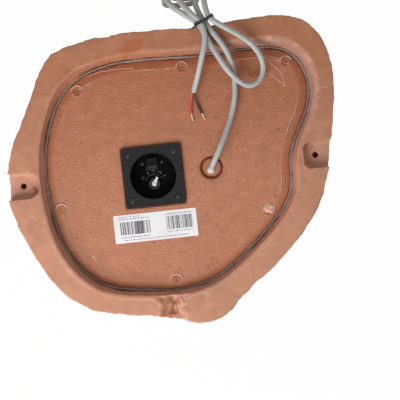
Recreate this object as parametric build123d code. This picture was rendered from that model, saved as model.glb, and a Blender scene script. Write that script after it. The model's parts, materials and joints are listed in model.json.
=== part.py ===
from build123d import *
from math import cos, radians, sin, tan
import os

# Rock shaped garden speaker, lying on its crown with its underside up.
# X runs through the two anchor holes, Y towards the back of the rock, Z up out of the underside.
# All sizes are in millimetres and degrees.

# Rock
ROCK_WIDTH = 414.0
ROCK_DEPTH = 368.0
ROCK_HEIGHT = 300.0
WALL = 10.0
# Rim outline in shares of half the width and half the depth, clockwise from the back left
RIM_SHAPE = [
    (-0.63, 0.92), (-0.29, 0.985), (0.025, 0.985), (0.24, 0.96), (0.485, 0.995), (0.725, 1.0), (0.87, 0.94),
    (0.965, 0.775), (1.0, 0.565), (0.965, 0.27), (0.92, -0.045), (0.835, -0.285), (0.70, -0.49),
    (0.53, -0.67), (0.36, -0.80), (0.215, -0.96), (0.07, -1.0), (-0.07, -0.95), (-0.315, -0.89),
    (-0.53, -0.86), (-0.725, -0.715), (-0.855, -0.49), (-0.98, -0.15), (-1.0, 0.045), (-0.955, 0.285),
    (-0.82, 0.555), (-0.725, 0.815),
]
# Share of each side that is cut off at the outline's corners
RIM_EASE = 0.25
# Cross sections: share of the height, share of the rim's size, shift towards the back
ROCK_SECTIONS = [(1.0, 1.0, 0.0), (0.83, 0.985, 0.0), (0.55, 0.92, 4.0), (0.28, 0.77, 11.0),
                 (0.05, 0.56, 18.0), (-0.12, 0.36, 22.0)]
# Broken faces: compass angle, lean, share of the height, depth of the cut there
ROCK_FACES = [(-38, 22, 0.43, 12), (8, 30, 0.43, 15), (50, 24, 0.43, 18), (100, 20, 0.43, 14),
              (150, 26, 0.43, 14), (195, 18, 0.43, 12), (232, 28, 0.43, 14),
              (-20, 50, 0.1, 8), (75, 52, 0.1, 9), (125, 49, 0.1, 7), (205, 50, 0.1, 8)]
# Rings of shallow chips between them: share of the height, lean, number of chips, depth of the cut
ROCK_CHIPS = [(0.70, 10, 10, 3.0), (0.42, 21, 9, 4.0), (0.17, 31, 8, 3.5)]
CHIP_TILT = 2.0

# Recess in the underside
RECESS_DEPTH = 20.0
RECESS_DRAFT = 4.0
LIP_WIDTH = 6.0
LIP_SLOPE = 31.0
# Foot of its wall in the same shares, anticlockwise from the middle of the back
RECESS_SHAPE = [
    (0.11, 0.805), (-0.24, 0.815), (-0.435, 0.777), (-0.58, 0.696), (-0.705, 0.49), (-0.773, 0.217),
    (-0.768, -0.158), (-0.676, -0.49), (-0.498, -0.69), (-0.24, -0.76), (-0.053, -0.777), (0.17, -0.728),
    (0.396, -0.56), (0.594, -0.353), (0.696, -0.163), (0.72, 0.065), (0.83, 0.337), (0.86, 0.576),
    (0.773, 0.755), (0.53, 0.815),
]
LEDGE_WIDTH = 26.0
LEDGE_HEIGHT = 18.0

# Torn notch across the front of the rim: width and depth at the recess and at the outside
NOTCH_X = -20.0
NOTCH_INNER = (20.0, 5.0)
NOTCH_OUTER = (38.0, 8.0)

# Anchor pockets in the rim: hole's distance from the rock's side, reach past the hole, corner radius
ANCHOR_Y = 7.0
ANCHOR_LEFT = (19.0, 21.0, 15.0)
ANCHOR_RIGHT = (31.0, 15.0, 8.0)
ANCHOR_HOLE_RADIUS = 3.6
ANCHOR_HOLE_DEPTH = 22.0
POCKET_DEPTH = 13.0
POCKET_WIDTH = 32.0

# Base plate, its seal and screws
PLATE_THICKNESS = 6.0
PLATE_BORDER = 10.0
PLATE_SLOPE = 2.5
SEAL_WIDTH = 3.5
SEAL_HEIGHT = 4.0
SCREW_STATIONS = (0, 3, 6, 10, 13, 18)
SCREW_INSET = 14.0
SCREW_HEAD_RADIUS = 4.4
SCREW_HEAD_DEPTH = 2.4
SCREW_SUNK = 1.0
SCREW_RADIUS = 2.1
SCREW_LENGTH = 20.0
THREAD_GAP = 0.05

# Terminal cup
CUP_AT = (-27.0, 2.5)
CUP_SIZE = 75.0
CUP_CORNER = 4.0
CUP_FLANGE = 3.0
DISH_RADIUS = 28.7
DISH_DEPTH = 22.0
CUP_WALL = 2.5
CUP_CLEARANCE = 0.6
CUP_GASKET = 1.0
CUP_SCREW_INSET = 9.0
CUP_SCREW = (3.3, 1.8, 1.6, 8.0)
CUP_SCREW_SUNK = 1.2
CUP_SCREW_CLEARANCE = 0.4
SHELF_EDGE = 13.5
SHELF_HEIGHT = 7.0
BLOCK_SIZE = (13.0, 8.0, 5.0)
BLOCK_SETBACK = 1.5
SHELF_SCREW_SPACING = 25.0
SHELF_SCREW_SETBACK = 3.5
SHELF_SCREW = (2.2, 1.4, 1.1, 5.0)

# Tap selector in the dish
SELECTOR_DROP = 9.5
SELECTOR_ANGLE = 30.0
SWITCH_RADIUS = 15.0
SWITCH_HEIGHT = 16.0
BUSH_RADIUS = 4.5
BUSH_HEIGHT = 6.5
NUT_RADIUS = 7.2
NUT_HEIGHT = 2.0
SHAFT_RADIUS = 2.0
SHAFT_FIT = 0.05
SHAFT_DEPTH = 12.0
POINTER_RADIUS = 3.1
POINTER_NECK = (1.1, 7.2)
POINTER_TIP = (1.6, 9.2)
POINTER_HEIGHT = 4.0
POINTER_CROWN = 1.0
POINTER_GAP = 0.4

# Label
LABEL_AT = (-30.5, -59.5)
LABEL_SIZE = (103.5, 35.0)
LABEL_CORNER = 1.0
LABEL_THICKNESS = 0.3

# Cable gland
GLAND_AT = (46.5, 5.5)
GLAND_HEAD_RADIUS = 11.0
GLAND_HEAD_DEPTH = 3.0
GLAND_GROOVE = 3.2
GLAND_SHANK_RADIUS = 7.5
GLAND_SHANK_LENGTH = 14.0
GLAND_GAP = 0.1
GLAND_NUT_WIDTH = 24.0
GLAND_NUT_HEIGHT = 5.0

# Cable, with the points of its route chosen by hand, and the share of a run that each bend takes
CABLE_RADIUS = 3.5
BEND_SHARE = 0.45
CONDUCTOR_RADIUS = 1.3
CONDUCTOR_SPACING = 3.0
BARE_RADIUS = 0.75
BARE_LENGTH = 11.0
LEAD_ROUTE = [
    (46.5, 5.5, 280), (46.5, 5.5, 290), (51, 13.5, 298), (59, 27.5, 299), (67.5, 44, 293.5),
    (75.5, 61, 288.5), (82, 79, 286.8), (85.8, 97, 288), (86.4, 115, 292), (84, 132, 299),
    (78.5, 147.5, 305), (70.5, 161, 306.2), (62.5, 173, 305), (58.5, 184, 304.2),
]
LOOP_ROUTE = [
    (50, 184, 304.2), (53, 173, 304.5), (58, 161, 304.9), (64.5, 147, 305.5), (71, 134, 305),
    (78.5, 121, 303.5), (88.5, 108.5, 300.5), (101, 99.5, 296.5), (113.5, 102, 293.5), (121.5, 112, 293),
    (123.3, 124.5, 296), (119.5, 138, 301.5), (111, 150, 306.5), (100, 159.5, 310), (87.5, 168, 312),
    (75, 176.5, 312.6), (62.5, 184, 312.2),
]
END_ROUTE = [
    (52.5, 184, 312.2), (54.5, 172.5, 312.6), (55, 161, 312.4), (51.8, 149.5, 310.5), (47.8, 138, 306.5),
    (44, 126.5, 300.5), (40, 115.5, 294.2), (36, 105, 289.8),
]
RED_ROUTE = [(29.2, 90, 282.6), (28.2, 79, 282.2)]
BLACK_ROUTE = [(36.6, 88, 282.6), (40.5, 76.5, 282.2)]

# Hank of cable that hangs over the back edge of the rim, and its tie
HANK_Y = 184.0
HANK_LOW = 300.2
HANK_TIE_LENGTH = 7.0
HANK_BEND_RADIUS = 28.0
HANK_THICKNESS = 16.0
HANK_DROP = 74.0
HANK_TIE_SPAN = (43.0, 69.0)
HANK_FAN_SPAN = (6.0, 72.0)
HANK_FAN_LENGTH = 22.0
HANK_END_RADIUS = 26.0
TIE_WIDTH = 5.0
TIE_THICKNESS = 1.5
TIE_TAIL_RADIUS = 1.2
TIE_TAIL_LENGTH = 12.0
TIE_TAIL_TILT = 60.0

# Front baffle, leaning back, and its grille
BAFFLE_X = -15.0
BAFFLE_DROP = 150.0
BAFFLE_SETBACK = 64.0
BAFFLE_LEAN = 25.0
BAFFLE_THICKNESS = 24.0
BAFFLE_RIM = 8.0
GRILLE_RADIUS = 91.0
GRILLE_THICKNESS = 1.5
GRILLE_DEPTH = 3.0
GRILLE_CLEARANCE = 0.6
GRILLE_HOLE = 4.2
GRILLE_PITCH = 9.5
GRILLE_SCREWS = 4
GRILLE_SCREW = (2.6, 1.4, 1.4, 8.0)

# Loudspeaker
DRIVER_RADIUS = 82.0
DRIVER_SEAT = 16.0
DRIVER_CUTOUT = 71.0
DRIVER_CLEARANCE = 0.8
DRIVER_GASKET = 1.5
DRIVER_SCREWS = 6
DRIVER_SCREW = (3.4, 2.0, 1.8, 9.0)
BASKET_SHEET = 2.0
BASKET_MOUTH = 66.0
BASKET_FLOOR = 46.0
BASKET_DEPTH = 40.0
BASKET_WINDOWS = 6
# Width, depth and height of a window, and its drop below the flange
BASKET_WINDOW = (22.0, 24.0, 20.0)
BASKET_WINDOW_DROP = 16.8
BASKET_BORE = 20.0
SKIN = 0.8
SURROUND_LIP = 4.0
CONE_RADIUS = 58.0
CONE_DEPTH = 27.0
GLUE_GAP = 0.05
COIL_RADIUS = 16.3
COIL_WALL = 0.7
COIL_GAP = 0.7
COIL_LENGTH = 24.0
COIL_RISE = 2.0
WHIZZER_RADIUS = 34.0
WHIZZER_HEIGHT = 17.0
CAP_RISE = 5.0
SPIDER_RADIUS = 43.0
SPIDER_LANDING = 6.5
SPIDER_SEAT = 5.0
SPIDER_WAVES = 3
SPIDER_WAVE_HEIGHT = 1.6
TOP_PLATE = (42.0, 5.0)
MAGNET = (45.0, 24.0, 15.0)
POLE_PLATE = 5.0
TAG_SIZE = (16.0, 15.5, 2.0)
TAG_GAP = 0.5
TAG_LEAD = 10.8

# Line transformer under the base plate, with its stack of laminations and its strap,
# set in from the right and the back of the rock
TRANSFORMER_INSET = (119.0, 122.0)
CORE_SIZE = (50.0, 18.0, 42.0)
CORE_LIMB = 8.0
CORE_MIDDLE = 16.0
WINDING_BULGE = 8.0
WINDING_GAP = 0.3
STRAP_SHEET = 1.5
STRAP_FOOT = 12.0
STRAP_GAP = 0.1
STRAP_SCREW = (3.2, 2.0, 1.7, 5.5)

# Wires inside: straight runs at their ends, and the bends between, chosen by hand from the start
WIRE_RADIUS = 1.8
WIRE_STUB = 12.0
WIRE_ENTRY = 15.0
WIRE_SPACING = 9.0
WIRE_BENDS = {
    "supply_wire": [(4, 3, -20), (14, 11, -25)],
    "selector_wire": [(22, -1, -7), (42, 3, -15), (70, 8, -14), (92, 20, -8)],
    "driver_wire": [(14, 22.5, 9), (32, 34, 6), (51, 46.5, 2), (70, 66, 4), (89, 86.5, 8), (104, 106, 18)],
}

# Wadding on the inside of the crown
PAD_SIZE = (76.0, 64.0, 18.0)
PAD_AT = (4.0, 26.0)
PAD_CORNER = 15.0

# Levels worked out from the sizes above
PLATE_TOP = ROCK_HEIGHT - RECESS_DEPTH
PLATE_BOTTOM = PLATE_TOP - PLATE_THICKNESS
LEDGE_BOTTOM = PLATE_BOTTOM - LEDGE_HEIGHT
SCREW_TOP = PLATE_TOP - SCREW_SUNK
FLANGE_BOTTOM = PLATE_TOP + CUP_GASKET
FLANGE_TOP = FLANGE_BOTTOM + CUP_FLANGE
CUP_SCREW_SEAT = FLANGE_TOP - CUP_SCREW_SUNK
DISH_FLOOR = FLANGE_TOP - DISH_DEPTH
CUP_BOTTOM = DISH_FLOOR - CUP_WALL
SHELF_TOP = DISH_FLOOR + SHELF_HEIGHT
BUSH_TOP = CUP_BOTTOM + BUSH_HEIGHT
GLAND_INNER = PLATE_TOP - GLAND_HEAD_DEPTH - GLAND_SHANK_LENGTH
SELECTOR_AT = (CUP_AT[0], CUP_AT[1] - SELECTOR_DROP)
ANCHOR_LEFT_X = ANCHOR_LEFT[0] - ROCK_WIDTH / 2
ANCHOR_RIGHT_X = ROCK_WIDTH / 2 - ANCHOR_RIGHT[0]
TRANSFORMER_AT = (ROCK_WIDTH / 2 - TRANSFORMER_INSET[0], ROCK_DEPTH / 2 - TRANSFORMER_INSET[1])

# Front face of the rock: its own Z points out of the rock
BAFFLE = Plane(
    origin=(BAFFLE_X, BAFFLE_SETBACK - ROCK_DEPTH / 2, ROCK_HEIGHT - BAFFLE_DROP),
    x_dir=(1, 0, 0),
    z_dir=(0, -cos(radians(BAFFLE_LEAN)), -sin(radians(BAFFLE_LEAN))),
)

# Levels behind the front face
GRILLE_BACK = -GRILLE_DEPTH - GRILLE_THICKNESS
SEAT = -DRIVER_SEAT
FLANGE_BACK = SEAT + DRIVER_GASKET
FLANGE_FRONT = FLANGE_BACK + BASKET_SHEET
FLOOR_FRONT = FLANGE_BACK - BASKET_DEPTH
FLOOR_BACK = FLOOR_FRONT - BASKET_SHEET
TOP_PLATE_BACK = FLOOR_BACK - TOP_PLATE[1]
MAGNET_BACK = TOP_PLATE_BACK - MAGNET[2]
CONE_NECK = FLANGE_FRONT - CONE_DEPTH
NECK_RADIUS = COIL_RADIUS + GLUE_GAP
LANDING = FLOOR_FRONT + SPIDER_LANDING


def scaled(shape, half_width, half_depth, shift=0.0):
    return [(x * half_width, y * half_depth + shift) for x, y in shape]


def outline(points, z):
    return make_face(Spline(*[(x, y, z) for x, y in points], periodic=True))


def inset(points, distance):
    """Move the points of an anticlockwise outline inwards."""
    moved = []
    for i, (x, y) in enumerate(points):
        before, after = points[i - 1], points[(i + 1) % len(points)]
        along = Vector(after[0] - before[0], after[1] - before[1]).normalized()
        moved.append((x - along.Y * distance, y + along.X * distance))
    return moved


def cylinder(radius, low, high, at=(0, 0)):
    return Pos(at[0], at[1], low) * extrude(Circle(radius), high - low)


def ring(outer, inner, low, high, at=(0, 0)):
    return Pos(at[0], at[1], low) * extrude(Circle(outer) - Circle(inner), high - low)


def turned(*points):
    """Turn an outline of radii and heights about the Z axis."""
    return revolve(make_face(Polyline(*[(r, 0, z) for r, z in points], close=True)), Axis.Z)


def pan_screw(size, at, top):
    """Pan head screw whose head sits on the level top."""
    head_radius, head_height, radius, length = size
    head = extrude(Circle(head_radius), head_height)
    head = chamfer(head.edges().sort_by(Axis.Z)[-1], head_height / 2)
    return Pos(at[0], at[1], top) * (head + Pos(0, 0, -length) * extrude(Circle(radius), length))


def screw_bore(size, at, top):
    return cylinder(size[2] + THREAD_GAP, top - size[3] - THREAD_GAP, top + size[1], at)


def on_circle(radius, count, start=0.0):
    turns = [radians(start + i * 360 / count) for i in range(count)]
    return [(radius * cos(turn), radius * sin(turn)) for turn in turns]


def eased(shape):
    """Outline with its corners cut off, stretched to fill the same box."""
    cut = []
    for i, (x, y) in enumerate(shape):
        for near in (shape[i - 1], shape[(i + 1) % len(shape)]):
            cut.append((x + (near[0] - x) * RIM_EASE, y + (near[1] - y) * RIM_EASE))
    left, right = min(x for x, _ in cut), max(x for x, _ in cut)
    front, back = min(y for _, y in cut), max(y for _, y in cut)
    return [((2 * x - left - right) / (right - left), (2 * y - front - back) / (back - front))
            for x, y in cut]


# Outlines and patterns that several pieces share
RIM_OUTLINE = eased(RIM_SHAPE)
RIM = scaled(RIM_OUTLINE, ROCK_WIDTH / 2, ROCK_DEPTH / 2)
FOOT = scaled(RECESS_SHAPE, ROCK_WIDTH / 2, ROCK_DEPTH / 2)
PLATE_EDGE = inset(FOOT, SEAL_WIDTH)
SCREW_POINTS = [inset(FOOT, SCREW_INSET)[i] for i in SCREW_STATIONS]
CUP_SCREW_OFFSET = CUP_SIZE / 2 - CUP_SCREW_INSET
CUP_SCREW_POINTS = [(CUP_AT[0] + i * CUP_SCREW_OFFSET, CUP_AT[1] + j * CUP_SCREW_OFFSET)
                    for i in (-1, 1) for j in (-1, 1)]
SHELF_SCREW_Y = CUP_AT[1] + SHELF_EDGE + SHELF_SCREW_SETBACK
SHELF_SCREW_POINTS = [(CUP_AT[0] + i * SHELF_SCREW_SPACING / 2, SHELF_SCREW_Y) for i in (-1, 1)]
STRAP_REACH = CORE_SIZE[0] / 2 + STRAP_GAP + STRAP_SHEET + STRAP_FOOT / 2
STRAP_SCREW_POINTS = [(TRANSFORMER_AT[0] + i * STRAP_REACH, TRANSFORMER_AT[1]) for i in (-1, 1)]
DRIVER_SCREW_POINTS = on_circle((DRIVER_RADIUS + DRIVER_CUTOUT) / 2, DRIVER_SCREWS, 30)
GRILLE_SCREW_POINTS = on_circle((GRILLE_RADIUS + DRIVER_RADIUS + DRIVER_CLEARANCE) / 2, GRILLE_SCREWS, 45)


def section_at(height):
    """Share of the rim's size and shift of the rock at a share of its height."""
    for upper, lower in zip(ROCK_SECTIONS, ROCK_SECTIONS[1:]):
        if lower[0] <= height <= upper[0]:
            blend = (height - lower[0]) / (upper[0] - lower[0])
            return [low + (high - low) * blend for low, high in zip(lower[1:], upper[1:])]


def rock_face(angle, lean, height, cut, wall):
    """Plane of a broken face, moved into the rock by the wall."""
    share, shift = section_at(height)
    across = Vector(cos(radians(angle)), sin(radians(angle)))
    reach = max(Vector(x * share, y * share + shift).dot(across) for x, y in RIM) - cut
    normal = across * cos(radians(lean)) - Vector(0, 0, sin(radians(lean)))
    return Plane(origin=across * reach + Vector(0, 0, height * ROCK_HEIGHT) - normal * wall, z_dir=normal)


def rock_chips():
    """Chips in rings, each ring turned against the next and its chips tilted by turns."""
    chips = []
    for level, (height, lean, count, cut) in enumerate(ROCK_CHIPS):
        for i in range(count):
            chips.append(((i + level / 2) * 360 / count, lean + CHIP_TILT * (-1) ** i, height, cut))
    return chips


def stacked(sections):
    """Solid with flat sides through a stack of outlines that have as many points."""
    sides = []
    for upper, lower in zip(sections, sections[1:]):
        for i in range(len(upper)):
            sides.append((upper[i - 1], upper[i], lower[i], lower[i - 1]))
    polygons = [sections[0], *sides, sections[-1]]
    return Solid(Shell([make_face(Polyline(*corners, close=True)).face() for corners in polygons]))


def rock_body(wall=0.0):
    """Solid rock, or its hollow when a wall is given."""
    sections = []
    for height, share, shift in ROCK_SECTIONS:
        share -= wall / (min(ROCK_WIDTH, ROCK_DEPTH) / 2)
        points = scaled(RIM_OUTLINE, ROCK_WIDTH / 2 * share, ROCK_DEPTH / 2 * share, shift)
        sections.append([(x, y, height * ROCK_HEIGHT) for x, y in points])
    body = stacked(sections)
    faces = [rock_face(*face, wall) for face in ROCK_FACES + rock_chips()]
    faces.append(Plane(origin=BAFFLE.origin - BAFFLE.z_dir * wall, z_dir=BAFFLE.z_dir))
    faces.append(Plane(origin=(0, 0, wall), z_dir=(0, 0, -1)))
    for face in faces:
        body = split(body, bisect_by=face, keep=Keep.BOTTOM)
    return body


def anchor_pocket(anchor, x, outward):
    """Pocket in the rim, open to the side of the rock, with its blind hole."""
    side, reach, corner = anchor
    length = reach + side + POCKET_WIDTH
    slot = RectangleRounded(length, POCKET_WIDTH, corner)
    floor = ROCK_HEIGHT - POCKET_DEPTH
    pocket = Pos(x + outward * (length / 2 - reach), ANCHOR_Y, floor) * extrude(slot, POCKET_DEPTH)
    return pocket + cylinder(ANCHOR_HOLE_RADIUS, floor - ANCHOR_HOLE_DEPTH, floor, (x, ANCHOR_Y))


def notch():
    """Ragged notch that widens from the recess to the outside of the rim."""
    ends = []
    inner_y = min(y for _, y in FOOT)
    for y, (width, depth) in ((inner_y, NOTCH_INNER), (-ROCK_DEPTH / 2, NOTCH_OUTER)):
        corners = [(-width / 2, 0), (-width / 4, -depth), (width / 4, -depth), (width / 2, 0)]
        points = [(NOTCH_X + x, y, ROCK_HEIGHT + z) for x, z in corners]
        ends.append(make_face(Polyline(*points, close=True)))
    return loft(ends, ruled=True)


def rock_shell():
    body = rock_body()
    hollow = split(rock_body(WALL), bisect_by=Plane.XY.offset(LEDGE_BOTTOM), keep=Keep.BOTTOM)
    seat_ring = BAFFLE * cylinder(GRILLE_RADIUS + BAFFLE_RIM, -BAFFLE_THICKNESS, 0)
    shell = body - hollow + (seat_ring & body)
    shell -= loft([outline(FOOT, PLATE_TOP), outline(inset(FOOT, -RECESS_DRAFT), ROCK_HEIGHT)])
    lip_reach = RECESS_DRAFT + LIP_WIDTH
    shell -= loft([outline(FOOT, ROCK_HEIGHT - lip_reach * tan(radians(LIP_SLOPE))),
                   outline(inset(FOOT, -lip_reach), ROCK_HEIGHT)])
    shell -= extrude(outline(FOOT, PLATE_BOTTOM), PLATE_THICKNESS)
    shell -= extrude(outline(inset(FOOT, LEDGE_WIDTH), LEDGE_BOTTOM), LEDGE_HEIGHT)
    shell -= anchor_pocket(ANCHOR_LEFT, ANCHOR_LEFT_X, -1)
    shell -= anchor_pocket(ANCHOR_RIGHT, ANCHOR_RIGHT_X, 1)
    shell -= notch()
    screw_tip = SCREW_TOP - SCREW_LENGTH
    for point in SCREW_POINTS:
        shell -= cylinder(SCREW_RADIUS + THREAD_GAP, screw_tip - THREAD_GAP, PLATE_BOTTOM, point)
    bores = cylinder(GRILLE_RADIUS + GRILLE_CLEARANCE, GRILLE_BACK, BAFFLE_RIM)
    bores += cylinder(DRIVER_RADIUS + DRIVER_CLEARANCE, SEAT, 0)
    bores += cylinder(DRIVER_CUTOUT, -BAFFLE_THICKNESS, 0)
    for point in DRIVER_SCREW_POINTS:
        bores += screw_bore(DRIVER_SCREW, point, FLANGE_FRONT)
    for point in GRILLE_SCREW_POINTS:
        bores += screw_bore(GRILLE_SCREW, point, -GRILLE_DEPTH)
    return shell - BAFFLE * bores


def countersunk(radius, head_radius, point, low):
    """Countersunk screw shape from the level low up to its sunk head."""
    shank = cylinder(radius, low, SCREW_TOP - SCREW_HEAD_DEPTH, point)
    head = Pos(*point, SCREW_TOP - SCREW_HEAD_DEPTH / 2) * Cone(radius, head_radius, SCREW_HEAD_DEPTH)
    return shank + head


def base_plate():
    plate = extrude(outline(PLATE_EDGE, PLATE_BOTTOM), PLATE_THICKNESS - PLATE_SLOPE)
    plate += loft([outline(PLATE_EDGE, PLATE_TOP - PLATE_SLOPE),
                   outline(inset(FOOT, SEAL_WIDTH + PLATE_BORDER), PLATE_TOP)])
    for point in SCREW_POINTS:
        plate -= countersunk(SCREW_RADIUS + THREAD_GAP, SCREW_HEAD_RADIUS + THREAD_GAP, point, PLATE_BOTTOM)
        plate -= cylinder(SCREW_HEAD_RADIUS + THREAD_GAP, SCREW_TOP, PLATE_TOP, point)
    plate -= cylinder(DISH_RADIUS + CUP_WALL + CUP_CLEARANCE, PLATE_BOTTOM, PLATE_TOP, CUP_AT)
    for point in CUP_SCREW_POINTS:
        plate -= screw_bore(CUP_SCREW, point, CUP_SCREW_SEAT)
    plate -= cylinder(GLAND_HEAD_RADIUS + GLAND_GROOVE, PLATE_TOP - GLAND_HEAD_DEPTH, PLATE_TOP, GLAND_AT)
    plate -= cylinder(GLAND_SHANK_RADIUS + GLAND_GAP, PLATE_BOTTOM, PLATE_TOP, GLAND_AT)
    for point in STRAP_SCREW_POINTS:
        top = PLATE_BOTTOM + STRAP_SCREW[3] - STRAP_SHEET
        plate -= cylinder(STRAP_SCREW[2] + THREAD_GAP, PLATE_BOTTOM, top, point)
    return plate


def base_seal():
    return extrude(outline(FOOT, PLATE_BOTTOM) - outline(PLATE_EDGE, PLATE_BOTTOM), SEAL_HEIGHT)


def base_screws():
    low = SCREW_TOP - SCREW_LENGTH
    return [countersunk(SCREW_RADIUS, SCREW_HEAD_RADIUS, point, low) for point in SCREW_POINTS]


def terminal_cup():
    """Square flange with a round dish, and a shelf across the back of the dish."""
    flange = extrude(RectangleRounded(CUP_SIZE, CUP_SIZE, CUP_CORNER), CUP_FLANGE)
    cup = Pos(*CUP_AT, FLANGE_BOTTOM) * flange
    cup += cylinder(DISH_RADIUS + CUP_WALL, CUP_BOTTOM, FLANGE_TOP, CUP_AT)
    cup -= cylinder(DISH_RADIUS, DISH_FLOOR, FLANGE_TOP, CUP_AT)
    shelf = cylinder(DISH_RADIUS, DISH_FLOOR, SHELF_TOP, CUP_AT)
    shelf_front = Plane(origin=(0, CUP_AT[1] + SHELF_EDGE, 0), z_dir=(0, 1, 0))
    cup += split(shelf, bisect_by=shelf_front, keep=Keep.TOP)
    for point in CUP_SCREW_POINTS:
        cup -= screw_bore(CUP_SCREW, point, CUP_SCREW_SEAT)
        cup -= cylinder(CUP_SCREW[0] + CUP_SCREW_CLEARANCE, CUP_SCREW_SEAT, FLANGE_TOP, point)
    for point in SHELF_SCREW_POINTS:
        cup -= screw_bore(SHELF_SCREW, point, SHELF_TOP)
    return cup - cylinder(BUSH_RADIUS + THREAD_GAP, CUP_BOTTOM, DISH_FLOOR, SELECTOR_AT)


def terminal_gasket():
    gasket = extrude(RectangleRounded(CUP_SIZE, CUP_SIZE, CUP_CORNER), CUP_GASKET)
    gasket = Pos(*CUP_AT, PLATE_TOP) * gasket
    gasket -= cylinder(DISH_RADIUS + CUP_WALL + CUP_CLEARANCE, PLATE_TOP, FLANGE_BOTTOM, CUP_AT)
    for point in CUP_SCREW_POINTS:
        gasket -= screw_bore(CUP_SCREW, point, CUP_SCREW_SEAT)
    return gasket


def connector_block():
    """Block on the shelf with two wire entries in its front."""
    width, depth, height = BLOCK_SIZE
    at = Pos(CUP_AT[0], CUP_AT[1] + SHELF_EDGE + BLOCK_SETBACK + depth / 2, SHELF_TOP + height / 2)
    entry = Box(width / 4, depth / 2, height / 2)
    entries = [Pos(i * width / 4, -depth / 2, 0) * entry for i in (-1, 1)]
    return at * (Box(width, depth, height) - entries)


def selector_switch():
    body = cylinder(SWITCH_RADIUS, CUP_BOTTOM - SWITCH_HEIGHT, CUP_BOTTOM, SELECTOR_AT)
    body += cylinder(BUSH_RADIUS, CUP_BOTTOM, BUSH_TOP, SELECTOR_AT)
    return body - cylinder(SHAFT_RADIUS + SHAFT_FIT, BUSH_TOP - SHAFT_DEPTH, BUSH_TOP, SELECTOR_AT)


def selector_nut():
    nut = ring(NUT_RADIUS, BUSH_RADIUS + THREAD_GAP, DISH_FLOOR, DISH_FLOOR + NUT_HEIGHT, SELECTOR_AT)
    return chamfer(nut.edges().group_by(Axis.Z)[-1].sort_by(SortBy.RADIUS)[-1], NUT_HEIGHT / 4)


def selector_shaft():
    return cylinder(SHAFT_RADIUS, BUSH_TOP - SHAFT_DEPTH + SHAFT_FIT, BUSH_TOP + POINTER_GAP, SELECTOR_AT)


def selector_pointer():
    """Arrow that stands on the shaft and points at the chosen tap, narrowest behind its tip."""
    side = [(POINTER_RADIUS, 0), POINTER_NECK, POINTER_TIP]
    arrow = make_face(Polyline(*side, *[(-x, y) for x, y in side[::-1]], close=True))
    pointer = extrude(arrow + Circle(POINTER_RADIUS), POINTER_HEIGHT)
    pointer += Pos(0, 0, POINTER_HEIGHT) * extrude(Circle(POINTER_RADIUS / 2), POINTER_CROWN)
    return Pos(*SELECTOR_AT, BUSH_TOP + POINTER_GAP) * Rot(0, 0, -SELECTOR_ANGLE) * pointer


def label():
    return Pos(*LABEL_AT, PLATE_TOP) * extrude(RectangleRounded(*LABEL_SIZE, LABEL_CORNER), LABEL_THICKNESS)


def cable_gland():
    head = cylinder(GLAND_HEAD_RADIUS, PLATE_TOP - GLAND_HEAD_DEPTH, PLATE_TOP, GLAND_AT)
    return head + cylinder(GLAND_SHANK_RADIUS, GLAND_INNER, PLATE_TOP, GLAND_AT)


def gland_nut():
    hexagon = RegularPolygon(GLAND_NUT_WIDTH / 2, 6, major_radius=False)
    nut = extrude(hexagon - Circle(GLAND_SHANK_RADIUS + GLAND_GAP), GLAND_NUT_HEIGHT)
    return Pos(*GLAND_AT, PLATE_BOTTOM - GLAND_NUT_HEIGHT) * nut


def bend_radii(route):
    """Largest arcs that fit between the runs of a route."""
    radii = []
    for before, here, after in zip(route, route[1:], route[2:]):
        run_in, run_out = here - before, after - here
        shorter = min(run_in.length, run_out.length)
        radii.append(BEND_SHARE * shorter / tan(radians(run_in.get_angle(run_out) / 2)))
    return radii


def tube(name, points, radius):
    route = [Vector(point) for point in points]
    radii = bend_radii(route)
    path = FilletPolyline(*route, radius=radii)
    solid = sweep(Plane(origin=path @ 0, z_dir=path % 0) * Circle(radius), path=path)
    print(f"{name}: length {path.length:.0f}, radii {min(radii):.1f} to {max(radii):.1f}, "
          f"volume ratio {solid.volume / (Circle(radius).area * path.length):.3f}")
    return solid


def conductor(name, side, points):
    """Insulated wire out of the sheath's end, with a stripped tip."""
    end, along = Vector(END_ROUTE[-1]), (Vector(END_ROUTE[-1]) - Vector(END_ROUTE[-2])).normalized()
    start = end + along.cross(Vector(0, 0, 1)).normalized() * side * CONDUCTOR_SPACING / 2
    route = [start, start + along * CABLE_RADIUS * 2] + [Vector(point) for point in points]
    heading = (route[-1] - route[-2]).normalized()
    bare = Plane(origin=route[-1], z_dir=heading) * cylinder(BARE_RADIUS, 0, BARE_LENGTH)
    return tube(name, route, CONDUCTOR_RADIUS) + bare


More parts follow.
